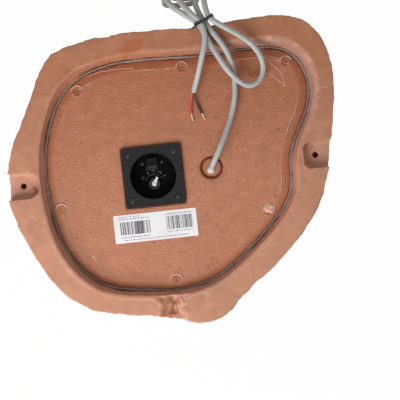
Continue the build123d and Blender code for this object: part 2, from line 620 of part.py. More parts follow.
def cable_hank():
    """Outer shape of the loops that hang from the tie: a bent band that fans out."""
    bend_y, high = HANK_Y + HANK_TIE_LENGTH, HANK_LOW + HANK_THICKNESS
    outer = HANK_BEND_RADIUS + HANK_THICKNESS
    bend_z = HANK_LOW - HANK_BEND_RADIUS
    low = bend_z - HANK_DROP
    middle = Vector(0, bend_y, bend_z)
    diagonal = Vector(0, 1, 1).normalized()
    inner_arc = ThreePointArc((0, bend_y, HANK_LOW), middle + diagonal * HANK_BEND_RADIUS,
                              (0, bend_y + HANK_BEND_RADIUS, bend_z))
    outer_arc = ThreePointArc((0, bend_y + outer, bend_z), middle + diagonal * outer, (0, bend_y, high))
    sides = Polyline((0, bend_y + HANK_BEND_RADIUS, bend_z), (0, bend_y + HANK_BEND_RADIUS, low),
                     (0, bend_y + outer, low), (0, bend_y + outer, bend_z))
    start = Polyline((0, bend_y, high), (0, HANK_Y, high), (0, HANK_Y, HANK_LOW), (0, bend_y, HANK_LOW))
    band = extrude(make_face([inner_arc, sides, outer_arc, start]), HANK_FAN_SPAN[1], dir=(1, 0, 0))
    left, right = HANK_TIE_SPAN
    far_left, far_right = HANK_FAN_SPAN
    fan_y, far_y = bend_y + HANK_FAN_LENGTH, bend_y + outer
    plan = make_face(Polyline((left, HANK_Y), (right, HANK_Y), (right, bend_y), (far_right, fan_y),
                              (far_right, far_y), (far_left, far_y), (far_left, fan_y), (left, bend_y),
                              close=True))
    hank = band & Pos(0, 0, low) * extrude(plan, high - low)
    lowest = hank.faces().sort_by(Axis.Z)[0].edges().filter_by(Axis.Y)
    return fillet(lowest, HANK_END_RADIUS)


def cable_tie():
    """Flat tie round the hank, with its twisted end on top."""
    left, right = HANK_TIE_SPAN
    inside = Rectangle(right - left, HANK_THICKNESS)
    outside = Rectangle(right - left + 2 * TIE_THICKNESS, HANK_THICKNESS + 2 * TIE_THICKNESS)
    middle = Pos((left + right) / 2, HANK_Y + HANK_TIE_LENGTH / 2, HANK_LOW + HANK_THICKNESS / 2)
    band = middle * Rot(90, 0, 0) * extrude(outside - inside, TIE_WIDTH / 2, both=True)
    high = HANK_THICKNESS / 2 + TIE_THICKNESS
    tail = Rot(0, TIE_TAIL_TILT, 0) * cylinder(TIE_TAIL_RADIUS, 0, TIE_TAIL_LENGTH)
    return band + middle * Pos(0, 0, high) * tail


def grille():
    """Steel disc with rows of six sided holes."""
    spots = []
    row_pitch = GRILLE_PITCH * cos(radians(30))
    rows = int(DRIVER_RADIUS / row_pitch)
    for row in range(-rows, rows + 1):
        for column in range(-rows, rows + 1):
            spot = Vector((column + row / 2 % 1) * GRILLE_PITCH, row * row_pitch)
            if spot.length + GRILLE_HOLE < DRIVER_RADIUS:
                spots.append(Pos(spot.X, spot.Y))
    hole = RegularPolygon(GRILLE_HOLE, 6, rotation=30)
    sheet = extrude(Circle(GRILLE_RADIUS) - [spot * hole for spot in spots], GRILLE_THICKNESS)
    for point in GRILLE_SCREW_POINTS:
        sheet -= cylinder(GRILLE_SCREW[2] + THREAD_GAP, 0, GRILLE_THICKNESS, point)
    return Pos(0, 0, GRILLE_BACK) * sheet


def driver_gasket():
    gasket = ring(DRIVER_RADIUS, DRIVER_CUTOUT, SEAT, FLANGE_BACK)
    for point in DRIVER_SCREW_POINTS:
        gasket -= screw_bore(DRIVER_SCREW, point, FLANGE_FRONT)
    return gasket


def driver_basket():
    """Pressed basket: flange, sloping wall with windows, floor and the ring that carries the spider."""
    mouth, floor = BASKET_MOUTH, BASKET_FLOOR
    basket = turned(
        (mouth - BASKET_SHEET, FLANGE_FRONT), (DRIVER_RADIUS, FLANGE_FRONT), (DRIVER_RADIUS, FLANGE_BACK),
        (mouth, FLANGE_BACK), (floor, FLOOR_FRONT), (floor, FLOOR_BACK), (BASKET_BORE, FLOOR_BACK),
        (BASKET_BORE, FLOOR_FRONT), (SPIDER_RADIUS - SPIDER_SEAT, FLOOR_FRONT),
        (SPIDER_RADIUS - SPIDER_SEAT, LANDING), (SPIDER_RADIUS, LANDING), (SPIDER_RADIUS, FLOOR_FRONT),
        (floor - BASKET_SHEET, FLOOR_FRONT), (mouth - BASKET_SHEET, FLANGE_BACK),
    )
    width, depth, height = BASKET_WINDOW
    window = Pos((mouth + floor) / 2, 0, FLANGE_BACK - BASKET_WINDOW_DROP) * Box(depth, width, height)
    for i in range(BASKET_WINDOWS):
        basket -= Rot(0, 0, i * 360 / BASKET_WINDOWS) * window
    for point in DRIVER_SCREW_POINTS:
        basket -= screw_bore(DRIVER_SCREW, point, FLANGE_FRONT)
    return basket


def surround():
    """Half roll between the cone and a flat lip on the basket."""
    inner, outer = CONE_RADIUS + GLUE_GAP, BASKET_MOUTH - BASKET_SHEET + SKIN
    middle, roll = (inner + outer) / 2, (outer - inner) / 2
    low, high = FLANGE_FRONT, FLANGE_FRONT + roll
    outside = ThreePointArc((inner, 0, low), (middle, 0, high), (outer, 0, low))
    inside = ThreePointArc((outer - SKIN, 0, low), (middle, 0, high - SKIN), (inner + SKIN, 0, low))
    feet = [Line(outside @ 1, inside @ 0), Line(inside @ 1, outside @ 0)]
    section = make_face([outside, feet[0], inside, feet[1]])
    lip = ring(outer + SURROUND_LIP, outer - SKIN / 2, low, low + SKIN)
    return revolve(section, Axis.Z) + lip


def cone():
    return turned((NECK_RADIUS, CONE_NECK), (CONE_RADIUS, FLANGE_FRONT - SKIN), (CONE_RADIUS, FLANGE_FRONT),
                  (NECK_RADIUS, CONE_NECK + SKIN))


def voice_coil():
    high = CONE_NECK + SKIN + COIL_RISE
    return ring(COIL_RADIUS, COIL_RADIUS - COIL_WALL, high - COIL_LENGTH, high)


def whizzer_cone():
    low = CONE_NECK + SKIN + COIL_RISE / 2
    slope = (WHIZZER_RADIUS - NECK_RADIUS) / WHIZZER_HEIGHT
    high = low + WHIZZER_HEIGHT
    return turned((NECK_RADIUS, low), (NECK_RADIUS + SKIN * slope, low), (WHIZZER_RADIUS + SKIN, high),
                  (WHIZZER_RADIUS, high), (NECK_RADIUS, low + SKIN))


def dust_cap():
    """Shallow dome on the end of the coil."""
    low, radius = CONE_NECK + SKIN + COIL_RISE, COIL_RADIUS
    ball = (radius ** 2 + CAP_RISE ** 2) / (2 * CAP_RISE)
    dome = Pos(0, 0, low + CAP_RISE - ball) * (Sphere(ball) - Sphere(ball - SKIN))
    return split(dome, bisect_by=Plane.XY.offset(low), keep=Keep.TOP)


def spider():
    """Corrugated cloth disc from its seat on the basket to the coil."""
    inner, outer = NECK_RADIUS, SPIDER_RADIUS - SPIDER_SEAT
    step = (outer - inner) / (2 * SPIDER_WAVES)
    level = LANDING + SKIN
    top = [(inner + i * step, level + (i % 2) * SPIDER_WAVE_HEIGHT) for i in range(2 * SPIDER_WAVES + 1)]
    top.append((SPIDER_RADIUS, level))
    bottom = [(r, z - SKIN) for r, z in reversed(top)]
    return turned(*top, *bottom)


def top_plate():
    return ring(TOP_PLATE[0], COIL_RADIUS + COIL_GAP, TOP_PLATE_BACK, FLOOR_BACK)


def magnet():
    return ring(MAGNET[0], MAGNET[1], MAGNET_BACK, TOP_PLATE_BACK)


def pole_piece():
    pole = cylinder(COIL_RADIUS - COIL_WALL - COIL_GAP, MAGNET_BACK, FLOOR_BACK)
    return pole + cylinder(TOP_PLATE[0], MAGNET_BACK - POLE_PLATE, MAGNET_BACK)


def driver_tag():
    """Tag strip behind the basket's floor, where the leads are soldered."""
    low = TOP_PLATE[0] + TAG_GAP
    return Pos(0, low + TAG_SIZE[1] / 2, FLOOR_BACK - TAG_SIZE[2] / 2) * Box(*TAG_SIZE)


def under_plate(z=0.0):
    return Pos(*TRANSFORMER_AT, PLATE_BOTTOM + z)


def window_height():
    return CORE_SIZE[2] - 2 * CORE_LIMB


def transformer_core():
    width, stack, height = CORE_SIZE
    window = (width - 2 * CORE_LIMB - CORE_MIDDLE) / 2
    offset = (CORE_MIDDLE + window) / 2
    windows = [Pos(i * offset, 0, 0) * Box(window, stack, window_height()) for i in (-1, 1)]
    return under_plate(-height / 2) * (Box(width, stack, height) - windows)


def transformer_coil():
    width, stack, height = CORE_SIZE
    wide = width - 2 * CORE_LIMB - 2 * WINDING_GAP
    winding = Box(wide, stack + 2 * WINDING_BULGE, window_height() - 2 * WINDING_GAP)
    winding = fillet(winding.edges().filter_by(Axis.Z), WINDING_BULGE / 2)
    limb = Box(CORE_MIDDLE + 2 * WINDING_GAP, stack + 2 * WINDING_GAP, height)
    return under_plate(-height / 2) * (winding - limb)


def transformer_strap():
    """Strap round the core with a foot on each side."""
    width, stack, height = CORE_SIZE
    half = width / 2 + STRAP_GAP
    deep = height + STRAP_GAP
    path = [(-half - STRAP_SHEET - STRAP_FOOT, 0), (-half, 0), (-half, -deep), (half, -deep), (half, 0),
            (half + STRAP_SHEET + STRAP_FOOT, 0)]
    back = [(path[-1][0], -STRAP_SHEET), (half + STRAP_SHEET, -STRAP_SHEET),
            (half + STRAP_SHEET, -deep - STRAP_SHEET)]
    back += [(-x, z) for x, z in reversed(back)]
    strip = make_face(Polyline(*[(x, 0, z) for x, z in path + back], close=True))
    strap = under_plate() * extrude(strip, stack / 2, both=True)
    for point in STRAP_SCREW_POINTS:
        strap -= cylinder(STRAP_SCREW[2] + THREAD_GAP, PLATE_BOTTOM - STRAP_SHEET, PLATE_BOTTOM, point)
    return strap


def transformer_screws():
    """Pan head screws, head down, through the strap's feet into the base plate."""
    screw = Rot(180, 0, 0) * pan_screw(STRAP_SCREW, (0, 0), 0)
    return [Pos(*point, PLATE_BOTTOM - STRAP_SHEET) * screw for point in STRAP_SCREW_POINTS]


def inner_wires():
    """Wires to the transformer's winding from the gland, the selector and the loudspeaker."""
    x, y = TRANSFORMER_AT
    winding = Vector(x, y - CORE_SIZE[1] / 2 - WINDING_BULGE, PLATE_BOTTOM - CORE_SIZE[2] / 2)
    gland = Vector(*GLAND_AT, GLAND_INNER)
    switch = Vector(SELECTOR_AT[0] + SWITCH_RADIUS, SELECTOR_AT[1], CUP_BOTTOM - SWITCH_HEIGHT / 2)
    tag = (BAFFLE * Pos(0, TOP_PLATE[0] + TAG_GAP + TAG_LEAD, FLOOR_BACK - TAG_SIZE[2])).position
    starts = [(gland, Vector(0, 0, -1)), (switch, Vector(1, 0, 0)), (tag, -BAFFLE.z_dir)]
    wires = {}
    for place, (name, bends) in enumerate(WIRE_BENDS.items()):
        start, out = starts[place]
        end = winding + Vector((place - 1) * WIRE_SPACING, 0, 0)
        middle = [start + Vector(bend) for bend in bends]
        route = [start, start + out * WIRE_STUB, *middle, end - Vector(0, WIRE_ENTRY, 0), end]
        wires[name] = tube(name, route, WIRE_RADIUS)
    return wires


def damping_pad():
    pad = extrude(RectangleRounded(PAD_SIZE[0], PAD_SIZE[1], PAD_CORNER), PAD_SIZE[2])
    return Pos(*PAD_AT, WALL) * fillet(pad.edges().group_by(Axis.Z)[-1], PAD_SIZE[2] / 4)


def screws(size, points, top):
    return [pan_screw(size, point, top) for point in points]


def on_baffle(piece):
    pieces = piece if isinstance(piece, list) else [piece]
    placed = [BAFFLE * item for item in pieces]
    return placed if isinstance(piece, list) else placed[0]


nodes = {
    "rock_shell": rock_shell(),
    "base_plate": base_plate(),
    "base_seal": base_seal(),
    "base_screws": base_screws(),
    "terminal_cup": terminal_cup(),
    "terminal_gasket": terminal_gasket(),
    "terminal_screws": screws(CUP_SCREW, CUP_SCREW_POINTS, CUP_SCREW_SEAT),
    "connector_block": connector_block(),
    "shelf_screws": screws(SHELF_SCREW, SHELF_SCREW_POINTS, SHELF_TOP),
    "selector_switch": selector_switch(),
    "selector_nut": selector_nut(),
    "selector_shaft": selector_shaft(),
    "selector_pointer": selector_pointer(),
    "label": label(),
    "cable_gland": cable_gland(),
    "gland_nut": gland_nut(),
    "cable_lead": tube("cable_lead", LEAD_ROUTE, CABLE_RADIUS),
    "cable_loop": tube("cable_loop", LOOP_ROUTE, CABLE_RADIUS),
    "cable_end": tube("cable_end", END_ROUTE, CABLE_RADIUS),
    "cable_hank": cable_hank(),
    "cable_tie": cable_tie(),
    "red_conductor": conductor("red_conductor", 1, RED_ROUTE),
    "black_conductor": conductor("black_conductor", -1, BLACK_ROUTE),
    "grille": on_baffle(grille()),
    "grille_screws": on_baffle(screws(GRILLE_SCREW, GRILLE_SCREW_POINTS, -GRILLE_DEPTH)),
    "driver_gasket": on_baffle(driver_gasket()),
    "driver_basket": on_baffle(driver_basket()),
    "driver_screws": on_baffle(screws(DRIVER_SCREW, DRIVER_SCREW_POINTS, FLANGE_FRONT)),
    "surround": on_baffle(surround()),
    "cone": on_baffle(cone()),
    "whizzer_cone": on_baffle(whizzer_cone()),
    "dust_cap": on_baffle(dust_cap()),
    "voice_coil": on_baffle(voice_coil()),
    "spider": on_baffle(spider()),
    "top_plate": on_baffle(top_plate()),
    "magnet": on_baffle(magnet()),
    "pole_piece": on_baffle(pole_piece()),
    "driver_tag": on_baffle(driver_tag()),
    "transformer_core": transformer_core(),
    "transformer_coil": transformer_coil(),
    "transformer_strap": transformer_strap(),
    "transformer_screws": transformer_screws(),
    "damping_pad": damping_pad(),
}
nodes.update(inner_wires())

os.makedirs("parts", exist_ok=True)
for name, piece in nodes.items():
    solids = piece if isinstance(piece, list) else [piece]
    export_step(Compound([solid for item in solids for solid in item.solids()]), f"parts/{name}.step")
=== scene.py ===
import json
from math import copysign, cos, hypot, pi, radians, sin
from random import Random

import bmesh
import bpy
from mathutils import Matrix, Vector, noise
from mathutils.bvhtree import BVHTree
from mathutils.kdtree import KDTree


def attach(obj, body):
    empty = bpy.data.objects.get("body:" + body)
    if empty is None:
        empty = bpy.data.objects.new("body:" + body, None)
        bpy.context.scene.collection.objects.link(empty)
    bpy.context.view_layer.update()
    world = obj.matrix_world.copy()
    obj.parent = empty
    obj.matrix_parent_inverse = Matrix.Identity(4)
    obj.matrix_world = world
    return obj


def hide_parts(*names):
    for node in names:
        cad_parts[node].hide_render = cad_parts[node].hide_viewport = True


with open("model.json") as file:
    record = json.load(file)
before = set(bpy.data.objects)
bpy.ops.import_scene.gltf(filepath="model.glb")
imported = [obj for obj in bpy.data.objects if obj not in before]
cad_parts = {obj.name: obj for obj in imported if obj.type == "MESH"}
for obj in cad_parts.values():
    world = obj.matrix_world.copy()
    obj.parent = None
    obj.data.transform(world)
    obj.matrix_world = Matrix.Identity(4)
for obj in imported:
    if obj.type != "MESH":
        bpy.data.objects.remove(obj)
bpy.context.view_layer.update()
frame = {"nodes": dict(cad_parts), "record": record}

# Rock shaped garden speaker, lying on its crown with its underside up.
# Places are in metres, and in millimetres where a name ends in MM. Angles are in degrees.
# Points of a mesh that are nearer than WELD count as one.
MM = 0.001
UP = Vector((0, 0, 1))
WELD = 0.00001

# View of the photograph: from straight above, a little turned
CAMERA_AT = (0.0277, -0.0334, 1.8)
CAMERA_ROLL = -6.17
CAMERA_LENS = 109.8

# Light: place, size and power of a soft lamp low in front and a weaker one behind, and an even surround
LAMPS = {"key": ((-0.4, -0.62, 0.92), 0.7, 10.3), "fill": ((0.5, 1.3, 1.5), 1.4, 2.0)}
LAMP_AIM = (0.0, 0.0, 0.27)
SURROUND_LEVEL = 0.32
SURROUND_TINT = (1.0, 0.93, 0.87, 1.0)
FLOOR_SIZE = 8.0
FLOOR_GLOW = 0.97

# Colours as they look in plain light, red, green and blue up to 255
FLOOR_COLOUR = (236, 236, 236)
ROCK_COLOUR = (185, 131, 104)
PLATE_COLOUR = (184, 122, 92)
# PAINT_DARK is for pits, and also for painted shade at the recess's foot, in the notch, along the plate's
# edge and round screws
PAINT_DARK = (148, 82, 44)
# PAINT_PALE is for pale wear, and also for painted light on the front wall and painted highlights on the
# plate
PAINT_PALE = (227, 185, 167)
# Painted shade in the gland's groove and round the cup's flange
GROOVE_SHADE = (128, 60, 28)
SMEAR_COLOUR = (180, 102, 60)
CRACK_COLOUR = (82, 48, 30)
GLUE_COLOUR = (172, 138, 129)
SEALANT_COLOUR = (206, 192, 186)
DOT_COLOUR = (204, 158, 138)
CUP_COLOUR = (27, 27, 29)
# Painted shade in the cup's dish
CUP_DISH_SHADE = (6, 6, 6)
CABLE_COLOUR = (178, 181, 181)
TINNED_COLOUR = (236, 214, 180)
DIAL_INK = (120, 120, 122)
LABEL_INK = (48, 48, 52)
# Painted shade towards the back, away from the key lamp: shares of its red, green and blue that the paint
# keeps there
BACK_SHADE_SHARES = (0.965, 0.9, 0.83)
# Marks in the rock's paint, painted shade and light among them, in the order in which they are laid, and what
# is measured on the plate
ROCK_MARKS = {
    "painted_shade": PAINT_DARK, "smear": SMEAR_COLOUR, "glue": GLUE_COLOUR, "wear_and_painted_light": PAINT_PALE, "crack": CRACK_COLOUR,
}
PLATE_MARKS = ("edge", "ring", "above", "groove", "flange")

# Loudspeaker's opening: its middle, the lean of its axis, and the radii between which crags begin
BAFFLE_AT_MM = (-15.0, -120.0, 150.0)
BAFFLE_LEAN = 25.0
BAFFLE_FADE = (0.097, 0.125)

# Pieces in the underside
CUP_AT_MM = (-27.0, 2.5)
CUP_HALF_MM = (37.5, 37.5)
CUP_FACE = (0.2828, 0.2838)
HUB_AT_MM = (-27.0, -7.0)
LABEL_AT_MM = (-30.5, -59.5)
LABEL_HALF_MM = (51.8, 17.5)
GLAND_AT_MM = (46.5, 5.5)
GLAND_RADIUS_MM = 11.0

# Rock's skin: its mesh, the levels between which it may be hollow, and where fewer faces do
SKIN_VOXEL = 0.002
SKIN_SHARE = 0.36
SKIN_SHARP = 32.0
HOLLOW_LEVELS = (0.012, 0.268)
HOLLOW_PROBE = 0.004
HOLLOW_REACH = 0.4
PLAIN_BELOW = 0.262
PLAIN_FROM_BAFFLE = 0.1

# Rock's relief: crags on its sides, waves of the rim and its edge, and the lip round the recess.
# What lies lower than the lip counts as far from the seal.
CRAG_DEPTH = 0.0014
CRAG_SHIFT = Vector((0.3, 0.1, 0.7))
RIM_LEVELS = (0.284, 0.2985)
RIM_LIMIT = 0.3006
RIM_WAVE = 0.0005
EDGE_WAVE = 0.0018
NOTCH_WAVE = 0.0024
LIP_LEVEL = 0.283
LIP_WIDTH_MM = 13.0
LIP_LIFT = 0.0032
FAR_MM = 100.0

# Torn notch at the rim's front, and the anchor pockets with their holes
NOTCH_X = -0.02
NOTCH_HALF = 0.024
NOTCH_REACH = (0.140, 0.150)
POCKET_Y = 0.007
POCKET_HALF = 0.02
POCKETS_X = (-0.158, 0.152)
ANCHORS_MM = [(-188.0, 7.0), (176.0, 7.0)]
ANCHOR_RADIUS = 0.0038
ANCHOR_LEVELS = (0.268, 0.29)

# Wear and painted shade and light on the rim: their lowest level, the broad corner of the lip, the crack in
# the notch and the smear on the rim
MARKED_ABOVE = 0.27
SIDE_LEVELS = (0.27, 0.294)
BACK_CORNER = (0.16, 0.26)
BLOTCH_SHIFT = Vector((0.4, 0, 0))
CRACK_Y = -0.163
SMEAR_AT = (-0.035, 0.163)
SMEAR_HALF = (0.013, 0.009)

# Plate: its mesh and levels, the ridge inside its edge, rings round its screws (piled paint, a painted shadow
# and a painted highlight) and the gland's groove
PLATE_VOXEL = 0.0018
PLATE_SHARE = 0.6
PLATE_BACK = 0.2765
PLATE_FACE = 0.2768
PLATE_SUNK_MM = 0.12
RIDGE_MM = 12.4
SCREW_SHADOW_MM = 5.0
SCREW_PILE_MM = 6.4
SCREW_HIGHLIGHT_MM = 6.9
GROOVE_MM = 12.8

# Bead of sealant: the level at which its solid is found, its own level, and its uneven radius
SEAL_STEPS = 400
SEAL_PROBE = 0.276
SEAL_LEVEL = 0.2769
SEAL_RADIUS = 0.0019
SEAL_UNEVEN = 0.0007
SEAL_SWAY = 0.0006

# Screws by node: piece, finish, radius and height of the head, and radius of the shank
SCREWS = {
    "base_screws": ("base_screw_heads", "screw_paint", 0.0044, 0.0012, 0.0021),
    "terminal_screws": ("cup_screw_heads", "black_steel", 0.0033, 0.0018, 0.0016),
    "shelf_screws": ("shelf_screw_heads", "black_steel", 0.0022, 0.0014, 0.0011),
    "grille_screws": ("grille_screw_heads", "black_steel", 0.0026, 0.0014, 0.0014),
}
# Shares of a head's radius and height along its profile
HEAD_PROFILE = [(0.12, 1.0), (0.55, 0.93), (0.85, 0.72), (1.0, 0.35), (1.0, 0.0)]

# Broken edges of nodes
EDGES = {
    "terminal_cup": 0.0008, "selector_pointer": 0.0004, "connector_block": 0.0004, "selector_nut": 0.0004,
    "cable_gland": 0.0008, "grille": 0.0005,
}

# Marks in the paint, as points seen from above: scratches, then the rim's seam and chips and torn fibres
SCRATCHES_MM = [
    [(131, 131), (146, 112), (148, 96)], [(128, 131), (143, 117)], [(130, 115), (149, 96)],
    [(124, 135), (139, 130), (157, 123)], [(-100, 134), (-79, 139), (-56, 140), (-36, 139)],
    [(-118, -84), (-112, -89), (-109, -95)], [(-113, -90), (-108, -92)],
]
SEAM_MM = [
    [(199, 88), (185, 88), (182, 82), (179, 73), (175, 61)], [(171, 23.5), (181, 23), (190, 22)],
    [(-114.5, 139), (-106, 146), (-91, 148)], [(149, 175), (150.5, 175)], [(184, 124), (185.5, 124.5)],
]
FIBRES_MM = [
    [(-9, -152), (0, -151), (8, -149), (18, -146.5), (24, -148), (24.5, -155), (22, -163)],
    [(-8, -152), (-7, -160), (-9, -168)], [(-42, -148), (-34, -149.5), (-32, -156), (-33, -166)],
]

# Cable: the points of its route
CABLE_DIAMETER = 0.007
LEAD_ROUTE_MM = [
    (46.5, 5.5, 280), (46.5, 5.5, 290), (51, 13.5, 298), (59, 27.5, 299), (67.5, 44, 293.5),
    (75.5, 61, 288.5), (82, 79, 286.8), (85.8, 97, 288), (86.4, 115, 292), (84, 132, 299),
    (78.5, 147.5, 305), (70.5, 161, 306.2), (62.5, 173, 305), (56.5, 184, 304.3),
]
LOOP_ROUTE_MM = [
    (47.5, 183.5, 304.3), (53.5, 173, 304.5), (58, 161, 304.9), (64.5, 147, 305.5), (71, 134, 305),
    (78.5, 121, 303.5), (88.5, 108.5, 300.5), (101, 99.5, 296.5), (113.5, 102, 293.5), (121.5, 112, 293),
    (123.3, 124.5, 296), (119.5, 138, 301.5), (111, 150, 306.5), (100, 159.5, 310), (87.5, 168, 312),
    (75, 176.5, 312.6), (64.5, 184.5, 312.4),
]
END_ROUTE_MM = [
    (50.5, 184.5, 312.3), (54.3, 173, 312.6), (55, 161, 312.4), (51.8, 149.5, 310.5), (47.8, 138, 306.5),
    (44, 126.5, 300.5), (40, 115.5, 294.2), (36, 105, 289.8), (34.2, 100.4, 287.9),
]

# Conductors: how far they start inside the cable and run straight on, then their own routes and bare tips
CONDUCTOR_DIAMETER = 0.0026
CONDUCTOR_SPACING_MM = 3.0
CONDUCTOR_SUNK = 0.002
CONDUCTOR_STRAIGHT = 0.007
CONDUCTOR_ROUTES_MM = {
    "red": [(29.3, 89, 283.2), (28.4, 79.5, 282.0), (28.7, 74, 281.9)],
    "black": [(36.4, 88.5, 283.2), (39.6, 79, 282.0), (41.6, 73.5, 281.9)],
}
BARE_LENGTH_MM = 9.0
STRAND_RADIUS = 0.00024
STRAND_LAY = 0.0005

# Hank over the back edge: middle of its bend, play of the points on it, straight runs and lowest level
HANK_BEND_MM = (191.0, 272.2)
HANK_EASE_MM = 1.2
HANK_RUN_MM = 250.0
HANK_LOW_MM = 202.0
# Each loop's layer radius, and its places across: at the tie, over the edge and going down, then back
HANK_LOOPS_MM = [
    (32.0, (51.5, 47.0, 51.0), (36.0, 17.0, 9.5)),
    (40.0, (60.0, 58.0, 64.0), (41.5, 28.0, 20.0)),
]
# Half a side of an octagon about a circle of radius 1
OCTAGON = 0.414

# Tie round the four strands, and its twisted ends
TIE_AT_MM = (56.0, 184.3, 308.3)
TIE_TURN = 24.0
TIE_HALF_MM = (12.6, 8.6)
TIE_BAND_MM = (3.8, 1.3)
TIE_TAIL_MM = (-6.5, -1.0, 8.8)
TIE_TAIL_WAY = (-0.75, -0.45, 0.1)
TIE_TAIL_LENGTH = 0.013
TIE_WIRE = 0.0007
TIE_TWIST = 0.0008

# Scale of the selector: numbers and their turns, corners of a tick and of a dash, and the box over it
DIAL_LEVEL_MM = 262.06
DIAL_NUMBERS = {"30": 57, "15": 28, "7.5": 0, "3.75": -29, "8": -56}
DIAL_LETTERS = 0.0036
DIAL_RADIUS = 0.016
DIAL_TICK_MM = ((-0.2, 11.9), (0.2, 13.4))
DIAL_DASH_MM = ((-0.32, 11.75), (0.32, 12.0))
DIAL_SPAN = 57
DIAL_PITCH = 3
VOLTAGE_AT = (-0.0015, 0.0205, 0)
VOLTAGE_LETTERS = 0.003
VOLTAGE_BOX_MM = (6.6, 2.5)
VOLTAGE_LINE_MM = 0.3

# Print of the label: bars within left, right, low and high, and broken lines with a middle and a height
LABEL_LEVEL_MM = 280.35
LABEL_BARS_MM = [(-44.0, -6.5, -7.5, 8.5), (14.0, 46.0, -6.0, 10.5)]
LABEL_DENSE_MM = (-28.0, -17.0)
LABEL_LINES_MM = [
    (-46, -8, 12.0, 0.8), (-44, -8, -10.8, 0.9), (-40, 40, -14.2, 0.7), (14, 46, 13.2, 0.9),
    (14, 46, -8.6, 0.7), (-46, -18, 14.6, 0.7),
]


def in_metres(points):
    return [Vector(point) * MM for point in points]


def turns(count):
    """Even turns round a circle."""
    return [2 * pi * step / count for step in range(count)]


def link(name, data):
    piece = bpy.data.objects.new(name, data)
    bpy.context.scene.collection.objects.link(piece)
    return piece


def evaluated(piece):
    """Mesh of a piece with its modifiers applied."""
    bpy.context.view_layer.update()
    return bpy.data.meshes.new_from_object(piece.evaluated_get(bpy.context.evaluated_depsgraph_get()))


def declare(piece, slot, material, *nodes, body="rock"):
    """Piece riding on a body in place of some nodes, with its finish."""
    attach(piece, body)
    if nodes:
        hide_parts(*nodes)
    piece.data.materials.clear()
    piece.data.materials.append(material)


def smooth(mesh, angle):
    mesh.shade_smooth()
    mesh.set_sharp_from_angle(angle=radians(angle))


# Nodes of materials


def rgb(red, green, blue):
    """Colour as a shader takes it."""
    return tuple(((level / 255 + 0.055) / 1.055) ** 2.4 for level in (red, green, blue)) + (1.0,)


def shade(colour, factor):
    return tuple(min(level * factor, 255) for level in colour)


def node(source, kind, inputs=None, **settings):
    """Shader node in the tree that a source belongs to, with its inputs set or linked."""
    tree = source.id_data
    made = tree.nodes.new("ShaderNode" + kind)
    for name, value in settings.items():
        setattr(made, name, value)
    for key, value in (inputs or {}).items():
        if isinstance(value, bpy.types.NodeSocket):
            tree.links.new(value, made.inputs[key])
        else:
            made.inputs[key].default_value = value
    return made


def new_material(name):
    material = bpy.data.materials.new(name)
    material.use_nodes = True
    tree = material.node_tree
    return material, tree.nodes["Principled BSDF"], node(tree, "TexCoord").outputs["Object"]


def feed(target, name, value):
    target.id_data.links.new(value, target.inputs[name])


def clouds(place, scale, detail=3.0):
    return node(place, "TexNoise", {"Vector": place, "Scale": scale, "Detail": detail}).outputs["Fac"]


def axis(place, name):
    return node(place, "SeparateXYZ", {"Vector": place}).outputs[name]


def attribute(source, name):
    return node(source, "Attribute", attribute_name=name).outputs["Fac"]


def ramp(value, low, high, start=0.0, end=1.0):
    """Value between low and high, spread over start to end."""
    inputs = {"Value": value, "From Min": low, "From Max": high, "To Min": start, "To Max": end}
    return node(value, "MapRange", inputs).outputs["Result"]


def calculate(operation, first, second):
    return node(first, "Math", {0: first, 1: second}, operation=operation).outputs[0]


def times(first, *others):
    """Product of values."""
    for other in others:
        first = calculate("MULTIPLY", first, other)
    return first


def band(value, middle, half, fringe):
    """1 within half of a middle value, and 0 beyond the fringe."""
    offset = calculate("SUBTRACT", value, middle)
    away = node(offset, "Math", {0: offset}, operation="ABSOLUTE").outputs[0]
    return ramp(away, half, fringe, 1.0, 0.0)


def mix(share, first, second):
    return node(share, "Mix", {0: share, 6: first, 7: second}, data_type="RGBA").outputs[2]


def tones(share, colour, low, high):
    """Colour from a darker to a lighter tone."""
    return mix(share, rgb(*shade(colour, low)), rgb(*shade(colour, high)))


def coat(ground, share, colour):
    """Ground with a share of a colour laid over it."""
    return mix(share, ground, rgb(*colour))


def paint(shader, colour, rough):
    feed(shader, "Base Color", colour)
    feed(shader, "Roughness", rough)


def roughen(shader, height, strength, distance):
    bump = node(height, "Bump", {"Height": height, "Strength": strength, "Distance": distance})
    feed(shader, "Normal", bump.outputs["Normal"])


# Materials


def surface(name, colour, rough=0.5, metallic=0.0, spread=0.12, patch=60.0, grain=900.0, bump=0.2, shine=0.5):
    """Finish with patches of tone and gloss and a fine grain."""
    material, shader, place = new_material(name)
    patches = ramp(clouds(place, patch, 4.0), 0.3, 0.7)
    gloss = ramp(patches, 0.0, 1.0, rough - 0.07, rough + 0.07)
    paint(shader, tones(patches, colour, 1 - spread, 1 + spread), gloss)
    shader.inputs["Metallic"].default_value = metallic
    shader.inputs["Specular IOR Level"].default_value = shine
    roughen(shader, clouds(place, grain, 2.0), bump, 0.0004)
    return material


def woven(name, colour, pitch=700.0, rough=0.85):
    """Coarse cloth with threads both ways."""
    material, shader, place = new_material(name)
    wave = {"Vector": place, "Scale": pitch, "Distortion": 1.0}
    threads = [node(place, "TexWave", wave, bands_direction=way).outputs["Fac"] for way in ("X", "Y")]
    weave = times(*threads)
    feed(shader, "Base Color", tones(weave, colour, 0.7, 1.0))
    shader.inputs["Roughness"].default_value = rough
    roughen(shader, weave, 0.5, 0.0005)
    return material


